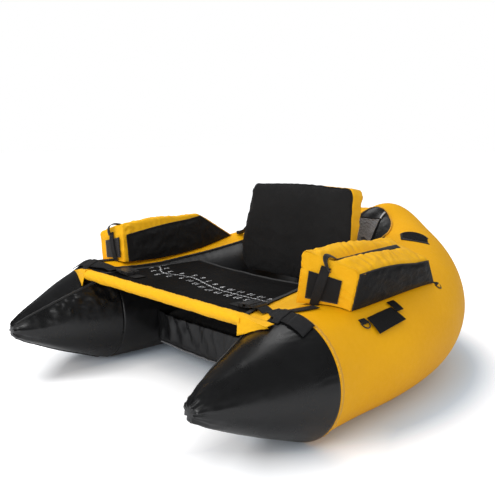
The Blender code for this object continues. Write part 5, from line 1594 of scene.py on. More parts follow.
@dataclass
class Pocket:
    """One side pocket: the gathered bag, its dark sides, its zip, patch and rod strap."""

    shape: HullShape
    finishes: Palette
    side: Side
    middle: Vector = field(default_factory=lambda: Vector((0.43, -0.06, 0.36)))
    foot_gap: float = 0.0020
    end_gap: float = 0.003
    floor_z: float = 0.322
    corner: float = 0.016
    swell: float = 0.008
    top_puff: float = 0.007
    wall: float = 0.0016
    shell_flat: Pair = (0.42, 0.46)
    end_flat: Pair = (0.14, 0.12)
    cloth_creases: Creases = Creases(0.05, 0.0030)
    top_creases: Creases = Creases(0.035, 0.0022)
    front_gathers: Gathers = Gathers(0.019, 0.0026, 0.030)
    zip_gathers: Gathers = Gathers(0.023, 0.0024, 0.026)
    edge_gathers: Gathers = Gathers(0.033, 0.0016, 0.016)
    panel_creases: Creases = Creases(0.045, 0.0065)
    panel_swell: float = 0.0050
    panel_lift: float = 0.0034
    panel_flat: Pair = (0.12, 0.46)
    panel_wall: float = 0.0012
    piping_radius: float = 0.0016
    zip_x: float = 0.4364
    zip_y: float = -0.1737
    zip_z: float = 0.4193
    zip_rise: float = 0.0144
    zip_slope: float = math.radians(25.4)
    zip_share: float = 0.44
    zip_turn: float = 0.17
    zip_end_share: float = 0.93
    zip_start_gap: float = 0.045
    zip_lift: float = 0.0012
    zip_foot: tuple[float, float, float] = (0.50, 0.80, 0.0065)
    zip_corner: Vector = field(default_factory=lambda: Vector((0, -0.006, 0.008)))
    tape_width: float = 0.016
    tape_flat: Pair = (0.014, 0.36)
    tape_wall: float = 0.0009
    teeth: int = 140
    tooth: tuple[float, float, float] = (0.0022, 0.0013, 0.0012)
    tooth_gap: float = 0.0012
    tooth_lift: float = 0.0008
    patch_flat: Pair = (0.083, 0.065)
    patch_shares: tuple[float, float, float, float] = (0.15, 0.60, 0.13, 0.54)
    patch_lift: float = 0.0050
    rod_strap_flat: Pair = (0.024, 0.11)
    rod_strap_lift: float = 0.0070
    rod_strap_bow: float = 0.006
    knots: tuple[float, ...] = (0, 0.26, 0.33, 0.66, 0.73, 1)

    @property
    def corners(self) -> BagCorners:
        """Return this side's corners."""
        return NEAR_BAG if self.side is Side.RIGHT else FAR_BAG

    def foot(self, share: float, outer: float) -> Vector:
        """Return a point of the bag's foot on the hull by shares along and across it."""
        edges = self.corners
        front = edges.front_feet[0].lerp(edges.front_feet[1], outer)
        spot = front.lerp(edges.rear_feet[0].lerp(edges.rear_feet[1], outer), share)
        height = self.shape.height(spot.x, spot.y, self.foot_gap)
        crest = self.shape.height(self.shape.bend_spacing, spot.y, self.foot_gap)
        if spot.x < self.shape.bend_spacing:
            height = max(height, min(self.floor_z, crest) - share * (crest - height))
        return Vector((spot.x, spot.y, height))

    def top(self, share: float, outer: float) -> Vector:
        """Return a point of the bag's flat top by shares along and across it."""
        edges = self.corners
        front = edges.front_tops[0].lerp(edges.front_tops[1], outer)
        spot = front.lerp(edges.rear_tops[0].lerp(edges.rear_tops[1], outer), share)
        return spot + UP * self.swell * arched(min(share * 1.25, 1))

    def arch(self, share: float) -> Callable[[float], Vector]:
        """Return the bag's outline at a share of its length, as a line from 0 to 1 over it."""
        inner, outer = ((self.foot(share, place), self.top(share, place)) for place in (0, 1))

        def bend(before: Vector, corner: Vector, after: Vector, part: float) -> Vector:
            """Return a point of a round corner."""
            first = corner + (before - corner).normalized() * self.corner
            last = corner + (after - corner).normalized() * self.corner
            return first.lerp(corner, part).lerp(corner.lerp(last, part), part)

        def at(run: float) -> Vector:
            """Return the outline's point at a share of the way over it."""
            step = min(sum(run >= knot for knot in self.knots) - 1, 4)
            part = (run - self.knots[step]) / (self.knots[step + 1] - self.knots[step])
            rise = (inner[0], inner[1], outer[1])
            fall = (inner[1], outer[1], outer[0])
            if step in (1, 3):
                return bend(*(rise if step == 1 else fall), part)
            lines = {0: (inner[0], bend(*rise, 0)), 2: (bend(*rise, 1), bend(*fall, 0)),
                     4: (bend(*fall, 1), outer[0])}
            point = lines[step][0].lerp(lines[step][1], part)
            if step == 2:
                point.z += self.top_puff * arched(part) * ease(share / 0.08) * ease((1 - share) / 0.08)
                sunk = point.z - self.zip_height(point.x, point.y)
                near = peak(point.x, self.zip_x, 0.013)
                point.z -= sunk * near * ease(share / 0.07) * ease((1.02 - share) / 0.10)
            return point

        return at

    def zip_height(self, x: float, y: float) -> float:
        """Return the height of the zip's level over a point."""
        rise = self.zip_rise * (y - self.zip_y)
        return self.zip_z + rise - (x - self.zip_x) * math.tan(self.zip_slope)

    def end_point(self, share: float, across: float, up: float) -> Vector:
        """Return a point of the bag's closed front or rear end."""
        arch = self.arch(share)
        side = self.knots[1]
        point = arch(side * up).lerp(arch(1 - side * up), across)
        point = point.lerp(arch(side + (1 - 2 * side) * across), up ** 7)
        if 0 < across < 1:
            point.z += (self.foot(share, across).z - point.z) * (1 - up) ** 5
            point.z = max(point.z, self.shape.height(point.x, point.y, self.end_gap))
        return point

    def front_point(self, across: float, up: float, lift: float) -> Vector:
        """Return a point before the bag's front face by shares across and up it."""
        low, high = ([edge(0, place) for place in (0, 1)] for edge in (self.foot, self.top))
        normal = (low[1] - low[0]).cross(high[0] - low[0]).normalized()
        return low[0].lerp(low[1], across).lerp(high[0].lerp(high[1], across), up) + normal * lift

    def folds(self, spot: Vector) -> float:
        """Return how far the bag's cloth stands out or in at a point."""
        inner, outer = self.corners.front_tops
        lift = crease(spot + UP * (5 + self.side.value), self.cloth_creases)
        front = abs(spot.y - inner.y - (outer.y - inner.y) / 0.11 * (spot.x - inner.x))
        lift += pucker(front, spot.x + spot.z, self.front_gathers)
        if spot.z > 0.385:
            patchy = 0.35 + 1.1 * abs(drift(spot.y / 0.05, spot.x / 0.05, 2))
            lift += patchy * pucker(abs(spot.x - self.zip_x), spot.y, self.zip_gathers)
            lift += pucker(abs(spot.x - outer.x), spot.y, self.edge_gathers)
            lift += crease(Vector((spot.x * 0.6, spot.y, 7)), self.top_creases)
        return lift

    def build_bag(self) -> None:
        """Make the coloured bag from its long shell and its two ends."""
        forms = [laid(96, 110, self.shell_flat, lambda across, along: self.arch(along)(across))]
        for share in (0, 1):
            forms.append(laid(32, 26, self.end_flat,
                              lambda across, up, share=share: self.end_point(share, across, up)))
        form = joined(forms, 3e-4)
        bmesh.ops.recalc_face_normals(form, faces=form.faces)
        turn_away(form, self.middle)
        form.normal_update()
        for vert in form.verts:
            spot = vert.co
            over = spot.z - self.shape.height(spot.x, spot.y, self.foot_gap)
            taped = peak(spot.x, self.zip_x, 0.014) if spot.z > 0.40 else 0
            vert.co = spot + vert.normal * self.folds(spot) * ease(over / 0.03) * (1 - taped)
        for vert in form.verts:
            vert.co = self.side.of(vert.co)
        if self.side is Side.LEFT:
            bmesh.ops.reverse_faces(form, faces=form.faces)
        name = self.side.word
        put_piece(f"bag_{name}", form, self.finishes.yellow, (f"pocket_{name}",), self.wall, sharp=42)

    def build_sides(self) -> None:
        """Make the dark, crinkled panels on the outer and the inner face."""
        name = self.side.word
        for word, tops, low, (start, end), way, nodes in (
                ("outer", (0.715, 0.715), 1.0, (0.012, 1.0), 1, (f"pocket_panel_{name}",)),
                ("inner", (0.205, 0.250), 0.0, (0.03, 0.985), -1, ())):
            def place(across: float, along: float) -> Vector:
                """Return the panel's point with its crinkles."""
                high = tops[0] + (tops[1] - tops[0]) * along
                spot = self.arch(start + (end - start) * along)(high + (low - high) * across)
                edge = min(across, 1 - across, along * 1.6, (1 - along) * 1.6) * 6
                fold = crease(spot + Vector((0, 9, 0)), self.panel_creases) * ease(edge)
                fold += self.panel_swell * ease(edge * 0.8)
                out = Vector((way, 0, 0.30)).normalized()
                return self.side.of(spot + out * (self.panel_lift + max(fold, 0)))

            lay_piece(f"bag_{word}_panel_{name}", (34, 80), self.panel_flat, place,
                      self.side.of(self.middle), self.finishes.panel, nodes, self.panel_wall)
            edge = [place(step / 14, 0) for step in range(14, 0, -1)]
            edge += [place(0, step / 50) for step in range(51)]
            corded(f"bag_{word}_piping_{name}", edge, self.piping_radius, self.finishes.black_seam)

    def zip_path(self, along: float) -> Vector:
        """Return a point of the zip's line, up the front face and then along the top."""
        turn = self.zip_turn
        y = self.top(0, self.zip_share).y + self.zip_start_gap
        if along >= turn:
            end_y = self.top(self.zip_end_share, self.zip_share).y
            y += (end_y - y) * (along - turn) / (1 - turn)
        point = Vector((self.zip_x, y, self.zip_height(self.zip_x, y) + self.zip_lift))
        if along < turn:
            low = self.front_point(*self.zip_foot)
            corner = self.top(0, self.zip_share) + self.zip_corner
            edge = corner * 2 - (low + point) / 2
            part = along / turn
            return low.lerp(edge, part).lerp(edge.lerp(point, part), part)
        return point

    def zip_point(self, along: float, across: float, lift: float) -> Vector:
        """Return a point beside the zip's line by distances across and off it."""
        ahead = self.zip_path(min(along + 0.005, 1)) - self.zip_path(max(along - 0.005, 0))
        aside = Vector((math.cos(self.zip_slope), 0, -math.sin(self.zip_slope)))
        out = aside.cross(ahead.normalized()).normalized()
        return self.side.of(self.zip_path(along) + aside * across + out * lift)

    def build_zip(self) -> None:
        """Make the zip's tape and its teeth."""
        name = self.side.word

        def tape(across: float, along: float) -> Vector:
            """Return the tape's point."""
            return self.zip_point(along, self.tape_width * (across - 0.5), self.zip_lift)

        below = self.side.of(Vector((self.middle.x, self.middle.y, 0.34)))
        lay_piece(f"zip_tape_{name}", (4, 100), self.tape_flat, tape, below,
                  self.finishes.zip_tape, (f"pocket_zip_tape_{name}",), self.tape_wall, 1)
        teeth = bmesh.new()
        for step in range(self.teeth):
            for way in (-1, 1):
                spot = self.zip_point((step + 0.5) / self.teeth, way * self.tooth_gap, self.tooth_lift)
                place = Matrix.Translation(spot) @ Matrix.Diagonal((*self.tooth, 1))
                bmesh.ops.create_cube(teeth, size=1, matrix=place)
        map_flat(teeth, Vector((1, 0, 0)), Vector((0, 1, 0)))
        put_piece(f"zip_teeth_{name}", teeth, self.finishes.plastic)

    def build_front(self) -> None:
        """Make the loop patch and the rod strap on the front face."""
        name = self.side.word
        from_side, width, from_foot, height = self.patch_shares
        back = self.side.of(Vector((0.43, 0.1, 0.36)))

        def patch(across: float, up: float) -> Vector:
            """Return the patch's point."""
            return self.side.of(self.front_point(from_side + width * across,
                                                 from_foot + height * up, self.patch_lift))

        def strap(across: float, up: float) -> Vector:
            """Return the strap's point, bowed away from the patch."""
            place = 0.33 + 0.11 * up + 0.17 * (across - 0.5)
            lift = self.rod_strap_lift + self.rod_strap_bow * arched(up)
            return self.side.of(self.front_point(place, 0.02 + 0.84 * up, lift))

        piece = lay_piece(f"loop_patch_{name}", (20, 10), self.patch_flat, patch, back,
                          self.finishes.loop, (f"pocket_patch_{name}",), self.wall)
        lay_piece(f"rod_strap_web_{name}", (6, 24), self.rod_strap_flat, strap, back,
                  self.finishes.webbing, (f"rod_strap_{name}",), self.wall)

    def build(self) -> None:
        """Make the whole pocket."""
        self.build_bag()
        self.build_sides()
        self.build_zip()
        self.build_front()


@dataclass
class Apron:
    """The lap apron: its printed sheet, the sleeve with the bar, and the corner flaps."""

    shape: HullShape
    finishes: Palette
    bar_y: float = -0.4615
    bar_z: float = 0.297
    length: float = 0.410
    front_half: float = 0.354
    rear_half: float = 0.300
    level: float = 0.294
    lift: float = 0.0043
    slack: float = 0.006
    rear_sag: float = 0.010
    wave_depth: float = 0.0022
    sheet_creases: Creases = Creases(0.09, 0.0016)
    sheet_flat: Pair = (0.66, 0.40)
    sheet_wall: float = 0.0015
    sheet_gap: float = 0.012
    right_tuck: float = 0.086
    hem_width: float = 0.013
    hem_lift: float = 0.0008
    hem_wall: float = 0.0009
    side_drop: float = 0.0035
    side_creases: Creases = Creases(0.06, 0.0016)
    side_edge_x: float = 0.392
    side_fade_x: float = 0.378
    side_lift: float = 0.0032
    side_fade: float = 0.0030
    side_lap: float = 0.008
    side_length: float = 0.380
    side_wall: float = 0.0010
    sleeve_radius: float = 0.0163
    sleeve_ripple: float = 0.0020
    sleeve_gathers: Gathers = Gathers(0.016, 0.0012, 0.012)
    sleeve_wall: float = 0.0013
    seam_width: float = 0.009
    seam_gap: float = 0.0135
    flap_start_x: float = 0.3445
    flap_length: float = 0.0865
    flap_lift: float = 0.0042
    flap_wall: float = 0.0012
    ruler_start: float = -0.306
    ruler_length: float = 0.562
    ruler_y: float = -0.258
    ruler_slant: float = 0.055
    ruler_wave: float = 0.018
    ruler_jag: float = 0.0022
    ruler_stroke: float = 0.0022
    tick_stroke: float = 0.0018
    tick_lengths: Pair = (0.010, 0.006)
    digit_size: float = 0.026
    print_lift: float = 0.0007

    def reach(self, y: float, side: float = 1) -> float:
        """Return half the sheet's width at a place along it; its right edge is tucked in."""
        share = (y - self.bar_y) / self.length
        tuck = self.right_tuck * math.sqrt(max(share, 0)) * max(side, 0)
        return self.front_half + (self.rear_half - self.front_half) * share - tuck

    def height(self, x: float, y: float, lift: float = 0) -> float:
        """Return the height of the sheet's top face, plus a lift."""
        slack = max(1 - (abs(x) / 0.27) ** 2, 0) * max(1 - ((y + 0.26) / 0.20) ** 2, 0)
        wave = self.wave_depth * drift(x / 0.13, y / 0.10, 8)
        fold = crease(Vector((x * 0.7, y, 6)), self.sheet_creases)
        low = ease((y + 0.13) / 0.07) * max(1 - (x / 0.28) ** 2, 0)
        level = self.level - self.slack * slack - self.rear_sag * low + wave + fold
        return max(level, self.shape.height(x, y, self.lift)) + lift

    def build_sheet(self) -> None:
        """Make the sheet and its stitched hems."""
        first, last = self.bar_y + self.sheet_gap, self.bar_y + self.length
        below = Vector((0, -0.25, 0))

        def place(across: float, along: float) -> Vector:
            """Return the sheet's point."""
            y = first + (last - first) * along
            side = 2 * across - 1
            x = self.reach(y, side) * side
            return Vector((x, y, self.height(x, y)))

        sheet = lay_piece("apron_sheet", (110, 70), self.sheet_flat, place, below,
                          self.finishes.apron, ("apron",), self.sheet_wall, body="apron_panel")
        for word, line, long in (("rear", lambda run: (2 * run - 1, 1.0, (0, -1)), 0.6),
                                 ("left", lambda run: (-1.0, run, (1, 0)), 0.4),
                                 ("right", lambda run: (1.0, run, (-1, 0)), 0.4)):
            def hem(across: float, along: float) -> Vector:
                """Return the hem's point."""
                side, share, inward = line(along)
                y = first + (last - first) * share + inward[1] * self.hem_width * across
                x = self.reach(y, side) * side + inward[0] * self.hem_width * across
                return Vector((x, y, self.height(x, y, self.hem_lift)))

            lay_piece(f"apron_hem_{word}", (5, 70), (self.hem_width, long), hem, below,
                      self.finishes.black_seam, (), self.hem_wall, 0, body="apron_panel")

    def side_height(self, x: float, y: float) -> float:
        """Return the height of the coloured sheet beside the tucked right edge."""
        fold = crease(Vector((x, y, 9)), self.side_creases)
        past = (x - self.side_fade_x) / (self.side_edge_x - self.side_fade_x)
        on_hull = self.shape.height(x, y, self.side_lift - self.side_fade * ease(past))
        return max(self.level - self.side_drop + fold, on_hull)

    def build_side_sheet(self) -> None:
        """Make the coloured sheet between the tucked right edge and the hull."""
        def place(across: float, along: float) -> Vector:
            """Return the sheet's point: across runs outwards, along to the rear."""
            y = self.bar_y + 0.022 + self.side_length * along
            first = self.reach(y) - self.side_lap
            x = first + (self.side_edge_x - first) * across
            return Vector((x, y, self.side_height(x, y)))

        sheet = lay_piece("side_sheet", (24, 70), (0.13, self.side_length), place,
                          Vector((0.34, -0.25, 0)), self.finishes.yellow, (), self.side_wall)

    def build_sleeve(self) -> None:
        """Make the gathered sleeve round the bar, pressed a little flat, and its seam."""
        def place(across: float, along: float) -> Vector:
            """Return the sleeve's point."""
            x = self.front_half * (2 * along - 1)
            angle = math.tau * across
            radius = self.sleeve_radius + self.sleeve_ripple * drift(
                x / 0.030 + math.sin(angle) * 1.4, math.cos(angle) * 1.1, 3)
            from_seam = abs((angle + 0.4) % math.tau - 0.4) * 0.016
            radius += pucker(from_seam, x, self.sleeve_gathers)
            flat = 1 - 0.10 * math.exp(-(self.front_half - abs(x)) / 0.010)
            return Vector((x, self.bar_y + radius * 0.98 * math.cos(angle),
                           self.bar_z + radius * flat * math.sin(angle)))

        def seam(across: float, along: float) -> Vector:
            """Return the point of the stitched seam behind the sleeve."""
            x = (self.front_half - 0.004) * (2 * along - 1)
            y = self.bar_y + self.seam_gap + self.seam_width * across
            return Vector((x, y, self.height(x, y, self.hem_lift) + 0.005 * (1 - across) ** 2))

        form = laid(40, 200, (0.104, 2 * self.front_half), place, None, True)
        face_out(form, 0, Vector((-self.front_half, self.bar_y, self.bar_z)))
        put_piece("sleeve", form, self.finishes.yellow, ("apron_sleeve",), self.sleeve_wall,
                  body="apron_panel")
        lay_piece("sleeve_seam", (4, 120), (self.seam_width, 0.7), seam,
                  Vector((0, self.bar_y, 0)), self.finishes.yellow_seam, (), self.hem_wall, 0,
                  body="apron_panel")

    def flap_point(self, side: Side, across: float, along: float) -> Vector:
        """Return a point of a corner flap: along runs outwards, across from front to rear."""
        x = self.flap_start_x + self.flap_length * along
        crest = Vector((x, self.bar_y - 0.012 + 0.010 * along, 0.3135 - 0.012 * along))
        front = Vector((0.352, -0.4835, 0.263)).lerp(Vector((0.431, -0.456, 0.2915)), along)
        rear = Vector((x, self.bar_y + 0.017 + 0.008 * along, 0.3075 - 0.008 * along))
        lie = ease(along * 1.5)
        crest.z = max(crest.z - 0.004 * lie, self.shape.height(crest.x, crest.y, 0.0045))
        rear.z = max(rear.z, self.shape.height(rear.x, rear.y, self.flap_lift))
        if across < 0.5:
            spot = front.lerp(crest, across * 2)
        else:
            spot = crest.lerp(rear, across * 2 - 1)
            spot.z += 0.004 * arched(across * 2 - 1) * (1 - lie)
        spot.z = max(spot.z, self.shape.height(spot.x, spot.y, self.flap_lift))
        fold = 0.0012 * abs(drift(spot.x / 0.02, spot.y / 0.02, side.value))
        return side.of(spot + UP * fold)

    def build_flaps(self) -> None:
        """Make the pointed coloured flaps that lie on the cones beyond the sleeve's ends."""
        for side in Side:
            flap = lay_piece(f"end_flap_{side.word}", (20, 24), (0.06, 0.10),
                             lambda across, along: self.flap_point(side, across, along),
                             side.of(Vector((0.40, -0.45, 0))), self.finishes.yellow,
                             (f"corner_flap_{side.word}",), self.flap_wall, rides=side is Side.RIGHT)
            if side is Side.LEFT:
                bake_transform(flap)

    def ruler_line(self, share: float) -> Pair:
        """Return the measuring line's place on the sheet at a share along it."""
        x = self.ruler_start + self.ruler_length * share
        wave = self.ruler_wave * math.cos(3 * math.pi * (1 - (1 - share) ** 2.6))
        jag = self.ruler_jag * math.sin(share * 240)
        return x, self.ruler_y - self.ruler_slant * x + wave + jag

    def stroke(self, start: Pair, end: Pair, width: float, steps: int) -> Form:
        """Return a printed stroke between two places."""
        run = Vector((end[0] - start[0], end[1] - start[1], 0))
        aside = Vector((-run.y, run.x, 0)).normalized() * width

        def place(across: float, along: float) -> Vector:
            """Return the stroke's point."""
            spot = Vector((*start, 0)) + run * along + aside * (across - 0.5)
            spot.z = self.height(spot.x, spot.y, self.print_lift)
            return spot

        return laid(1, steps, (width, run.length), place, Vector((0, -0.25, 0)))

    def digits(self, text: str, x: float, y: float) -> Form:
        """Return a printed number that faces the sitter, round a place on the sheet."""
        curve = bpy.data.curves.new("label", "FONT")
        curve.body, curve.size = text, self.digit_size
        curve.align_x, curve.align_y = "CENTER", "CENTER"
        form = mesh_form(settled(linked("label", curve)))
        bpy.data.curves.remove(curve)
        bmesh.ops.rotate(form, verts=form.verts, matrix=Matrix.Rotation(math.pi, 3, "Z"))
        for vert in form.verts:
            spot_x, spot_y = x + vert.co.x, y + vert.co.y
            vert.co = Vector((spot_x, spot_y, self.height(spot_x, spot_y, self.print_lift + 0.0002)))
        return form

    def build_ruler(self) -> None:
        """Print the wavy measuring line with its ticks and plain numbers."""
        lines, ticks = 180, 13
        spots = [self.ruler_line(step / lines) for step in range(lines + 1)]
        forms = [self.stroke(*ends, self.ruler_stroke, 1) for ends in zip(spots, spots[1:])]
        for step in range(ticks + 1):
            x, y = self.ruler_line(step / ticks)
            long = self.tick_lengths[step % 2]
            forms.append(self.stroke((x, y - long), (x + 0.002, y + long), self.tick_stroke, 2))
            for way in (-1, 1):
                text = str(step * (1 if way > 0 else 2) + 1)
                forms.append(self.digits(text, x, y + way * self.digit_size))
        form = joined(forms, 1e-6)
        turn_away(form, Vector((0, -0.25, -1)))
        put_piece("ruler", form, self.finishes.print, body="apron_panel")

    def build(self) -> None:
        """Make the whole apron."""
        self.build_sheet()
        self.build_side_sheet()
        self.build_sleeve()
        self.build_flaps()
        self.build_ruler()


@dataclass
class Straps:
    """The webbing of one side: over the hull, to the pocket, and up to the backrest."""

    shape: HullShape
    finishes: Palette
    apron: Apron
    side: Side
    strap_y: float = -0.3615
    width: float = 0.038
    wall: float = 0.0016
    length: float = 0.25
    start_x: float = 0.3095
    end_x: float = 0.510
    slant: float = 0.042
    lift: float = 0.0026
    near_lift: float = 0.0095
    near_length: float = 0.045
    beside_x: float = 0.385
    box_length: float = 0.053
    box_lift: float = 0.0020
    box_wall: float = 0.0010
    cross_x: float = 0.428
    cross_y: float = -0.284
    cross_length: float = 0.147
    cross_width: float = 0.026
    cross_rise: float = 0.0036
    cross_wall: float = 0.0014
    back_width: float = 0.025
    back_length: float = 0.16
    back_sag: float = 0.006
    back_wall: float = 0.0015
    back_feet: tuple[Pair, ...] = ((0.338, 0.176), (0.352, 0.188), (0.366, 0.200))

    def height(self, x: float, y: float) -> float:
        """Return the height that the strap lies at over a point."""
        edge = self.apron.reach(y, self.side.value)
        heights = [self.shape.height(x, y, 0.0012)]
        if x < edge + 0.004:
            heights.append(self.apron.height(x, y))
        if edge < x < edge + 0.03:
            heights.append(self.apron.height(edge, y) - (x - edge) * 0.25)
        if self.side is Side.RIGHT and x < self.beside_x:
            heights.append(self.apron.side_height(x, y))
        return max(heights) + self.lift

    def line(self, x: float) -> float:
        """Return where the wide strap's middle runs; it slants forward over the cone's seam."""
        return self.strap_y - self.slant * ease((x - 0.318) / 0.12)

    def build_apron_strap(self) -> None:
        """Make the wide strap from the buckle over the hull to its sewn end."""
        name = self.side.word
        below = self.side.of(Vector((0.42, self.strap_y, 0.1)))

        def place(across: float, along: float) -> Vector:
            """Return the strap's point."""
            x = self.start_x + (self.end_x - self.start_x) * along
            line = self.line(x)
            y = line + self.width * (across - 0.5)
            middle, here = self.height(x, line), self.height(x, y)
            z = middle + (max(here, middle - 0.02) - middle) * ease((x - 0.355) / 0.03)
            near = ease(1 - (x - self.start_x) / self.near_length)
            return self.side.of(Vector((x, y, z + self.near_lift * near)))

        def box(across: float, along: float) -> Vector:
            """Return the point of the sewn box at the strap's end."""
            x = self.end_x + 0.001 + self.box_length * (along - 1)
            y = self.line(x) + (self.width + 0.003) * (across - 0.5)
            return self.side.of(Vector((x, y, self.height(x, y) + self.box_lift)))

        strap = lay_piece(f"apron_strap_web_{name}", (8, 90), (self.width, self.length), place,
                          below, self.finishes.webbing, (f"apron_strap_{name}",), self.wall, 1)
        self.side.of(Vector((self.end_x, self.strap_y, 0.25)))
        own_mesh(strap)
        lay_piece(f"strap_end_{name}", (8, 12), (0.004, 0.044), box, below,
                  self.finishes.webbing, (), self.box_wall, 0)

    def build_cross_strap(self) -> None:
        """Make the strap from the pocket's foot that loops round the wide one."""
        name = self.side.word

        def place(across: float, along: float) -> Vector:
            """Return the strap's point."""
            y = self.cross_y - self.cross_length * along
            x = self.cross_x - 0.004 * along + self.cross_width * (across - 0.5)
            middle = self.line(x)
            over = ease((middle + self.width / 2 + 0.008 - y) / 0.008)
            under = ease((y - (middle - self.width / 2 - 0.004)) / 0.006)
            height = self.shape.height(x, y, self.lift) + self.cross_rise * over * under
            return self.side.of(Vector((x, y, height)))

        lay_piece(f"cross_strap_{name}", (6, 80), (self.cross_width, self.cross_length), place,
                  self.side.of(Vector((0.42, -0.34, 0.1))), self.finishes.webbing,
                  (f"pocket_strap_{name}",), self.cross_wall, 1)

    def build_backrest_strap(self, backrest: Backrest) -> None:
        """Make the strap from the hull up to the backrest's side."""
        up = backrest.height * 0.56
        top = backrest.place() @ Vector((backrest.half_width(up) + 0.002, backrest.foot_thickness, up))
        ends = [Vector((x, y, self.shape.height(x, y, 0.0036))) for x, y in self.back_feet]
        run = ends[0] - top
        aside = Vector((-run.y, run.x, 0)).normalized()
        points = [top, top.lerp(ends[0], 0.33), top.lerp(ends[0], 0.66), *ends]

        def place(across: float, along: float) -> Vector:
            """Return the strap's point, which sags a little between its ends."""
            spot = along * (len(points) - 1)
            step = min(int(spot), len(points) - 2)
            point = points[step].lerp(points[step + 1], spot - step)
            sag = self.back_sag * arched(min(along / 0.6, 1))
            point = point + aside * self.back_width * (across - 0.5) - UP * sag
            point.z = max(point.z, self.shape.height(point.x, point.y, 0.0034))
            return self.side.of(point)

        name = self.side.word
        piece = lay_piece(f"backrest_strap_web_{name}", (6, 50),
                          (self.back_width, self.back_length), place,
                          self.side.of(Vector((0.3, 0.2, 0))), self.finishes.webbing,
                          (f"backrest_strap_{name}",), self.back_wall, 1, rides=False)
        self.side.of(ends[0])
        self.side.of(top)
        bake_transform(piece)

    def build(self, backrest: Backrest) -> None:
        """Make all the straps of this side."""
        self.build_apron_strap()
        self.build_cross_strap()
        self.build_backrest_strap(backrest)


@dataclass
class Tag:
    """The plain dark label sewn under the right-hand pocket, and the small tab above it."""

    shape: HullShape
    finishes: Palette
    fronts: tuple[Pair, ...] = ((0.512, -0.1885), (0.547, -0.1825))
    rears: tuple[Pair, ...] = ((0.508, -0.078), (0.541, -0.064))
    flat: Pair = (0.045, 0.12)
    wall: float = 0.0007
    tab_corner: Pair = (0.492, -0.074)
    tab_width: float = 0.030
    tab_wall: float = 0.0012

    def lifted(self, x: float, y: float, lift: float) -> Vector:
        """Return a point off the hull over a place on the ground."""
        base = Vector((x, y, self.shape.height(x, y, 0.002)))
        return base + self.shape.normal(x, y) * lift

    def build(self) -> None:
        """Make the label and the tab."""
        def place(across: float, along: float) -> Vector:
            """Return the label's point, a little curled."""
            front, rear = (Vector(ends[0]).lerp(Vector(ends[1]), across)
                           for ends in (self.fronts, self.rears))
            curl = 0.004 + 0.006 * across ** 2 * (0.4 + 0.6 * along) + 0.002 * arched(along)
            return self.lifted(*front.lerp(rear, along), curl)

        def tab(across: float, along: float) -> Vector:
            """Return the point of the small folded tab beside the label."""
            x, y = self.tab_corner
            return self.lifted(x + self.tab_width * across, y + self.tab_width * along,
                               0.002 + 0.005 * across)

        label = lay_piece("label", (12, 24), self.flat, place, Vector((0.42, -0.12, 0.15)),
                          self.finishes.panel, (), self.wall)
        lay_piece("label_tab", (6, 6), (self.tab_width, self.tab_width), tab,
                  Vector((0.42, -0.06, 0.15)), self.finishes.panel, (), self.tab_wall)


def dress_fittings(nodes: dict[str, Thing], finishes: Palette) -> None:
    """Give the fittings that keep their CAD shape their finishes."""
    groups = ((finishes.plastic, ("buckle_socket", "buckle_plug", "d_ring_front", "d_ring_rear",
                                  "pocket_zip_slider", "pocket_zip_pull", "valve_body", "valve_cap")),
              (finishes.film, ("air_bladder",)), (finishes.foam, ("backrest_pad",)),
              (finishes.metal, ("stabilizer_bar",)),
              (finishes.webbing, ("ring_tab_front", "ring_tab_rear", "buckle_tab")))
    for finish, words in groups:
        for name, node in nodes.items():
            if name.startswith(words):
                dress_node(node, finish)


@dataclass(frozen=True)
class Lamp:
    """A soft square lamp that faces the float tube: its place, its side and its power."""

    name: str
    place: tuple[float, float, float]
    size: float
    power: float
    glossy: bool = True

    def hang(self, aim: Vector) -> None:
        """Hang the lamp, turned to a point."""
        data = bpy.data.lights.new(self.name, "AREA")
        data.shape, data.size, data.energy = "SQUARE", self.size, self.power
        lamp = linked(self.name, data)
        lamp.matrix_world = facing(Vector(self.place), aim)
        lamp.visible_glossy = self.glossy


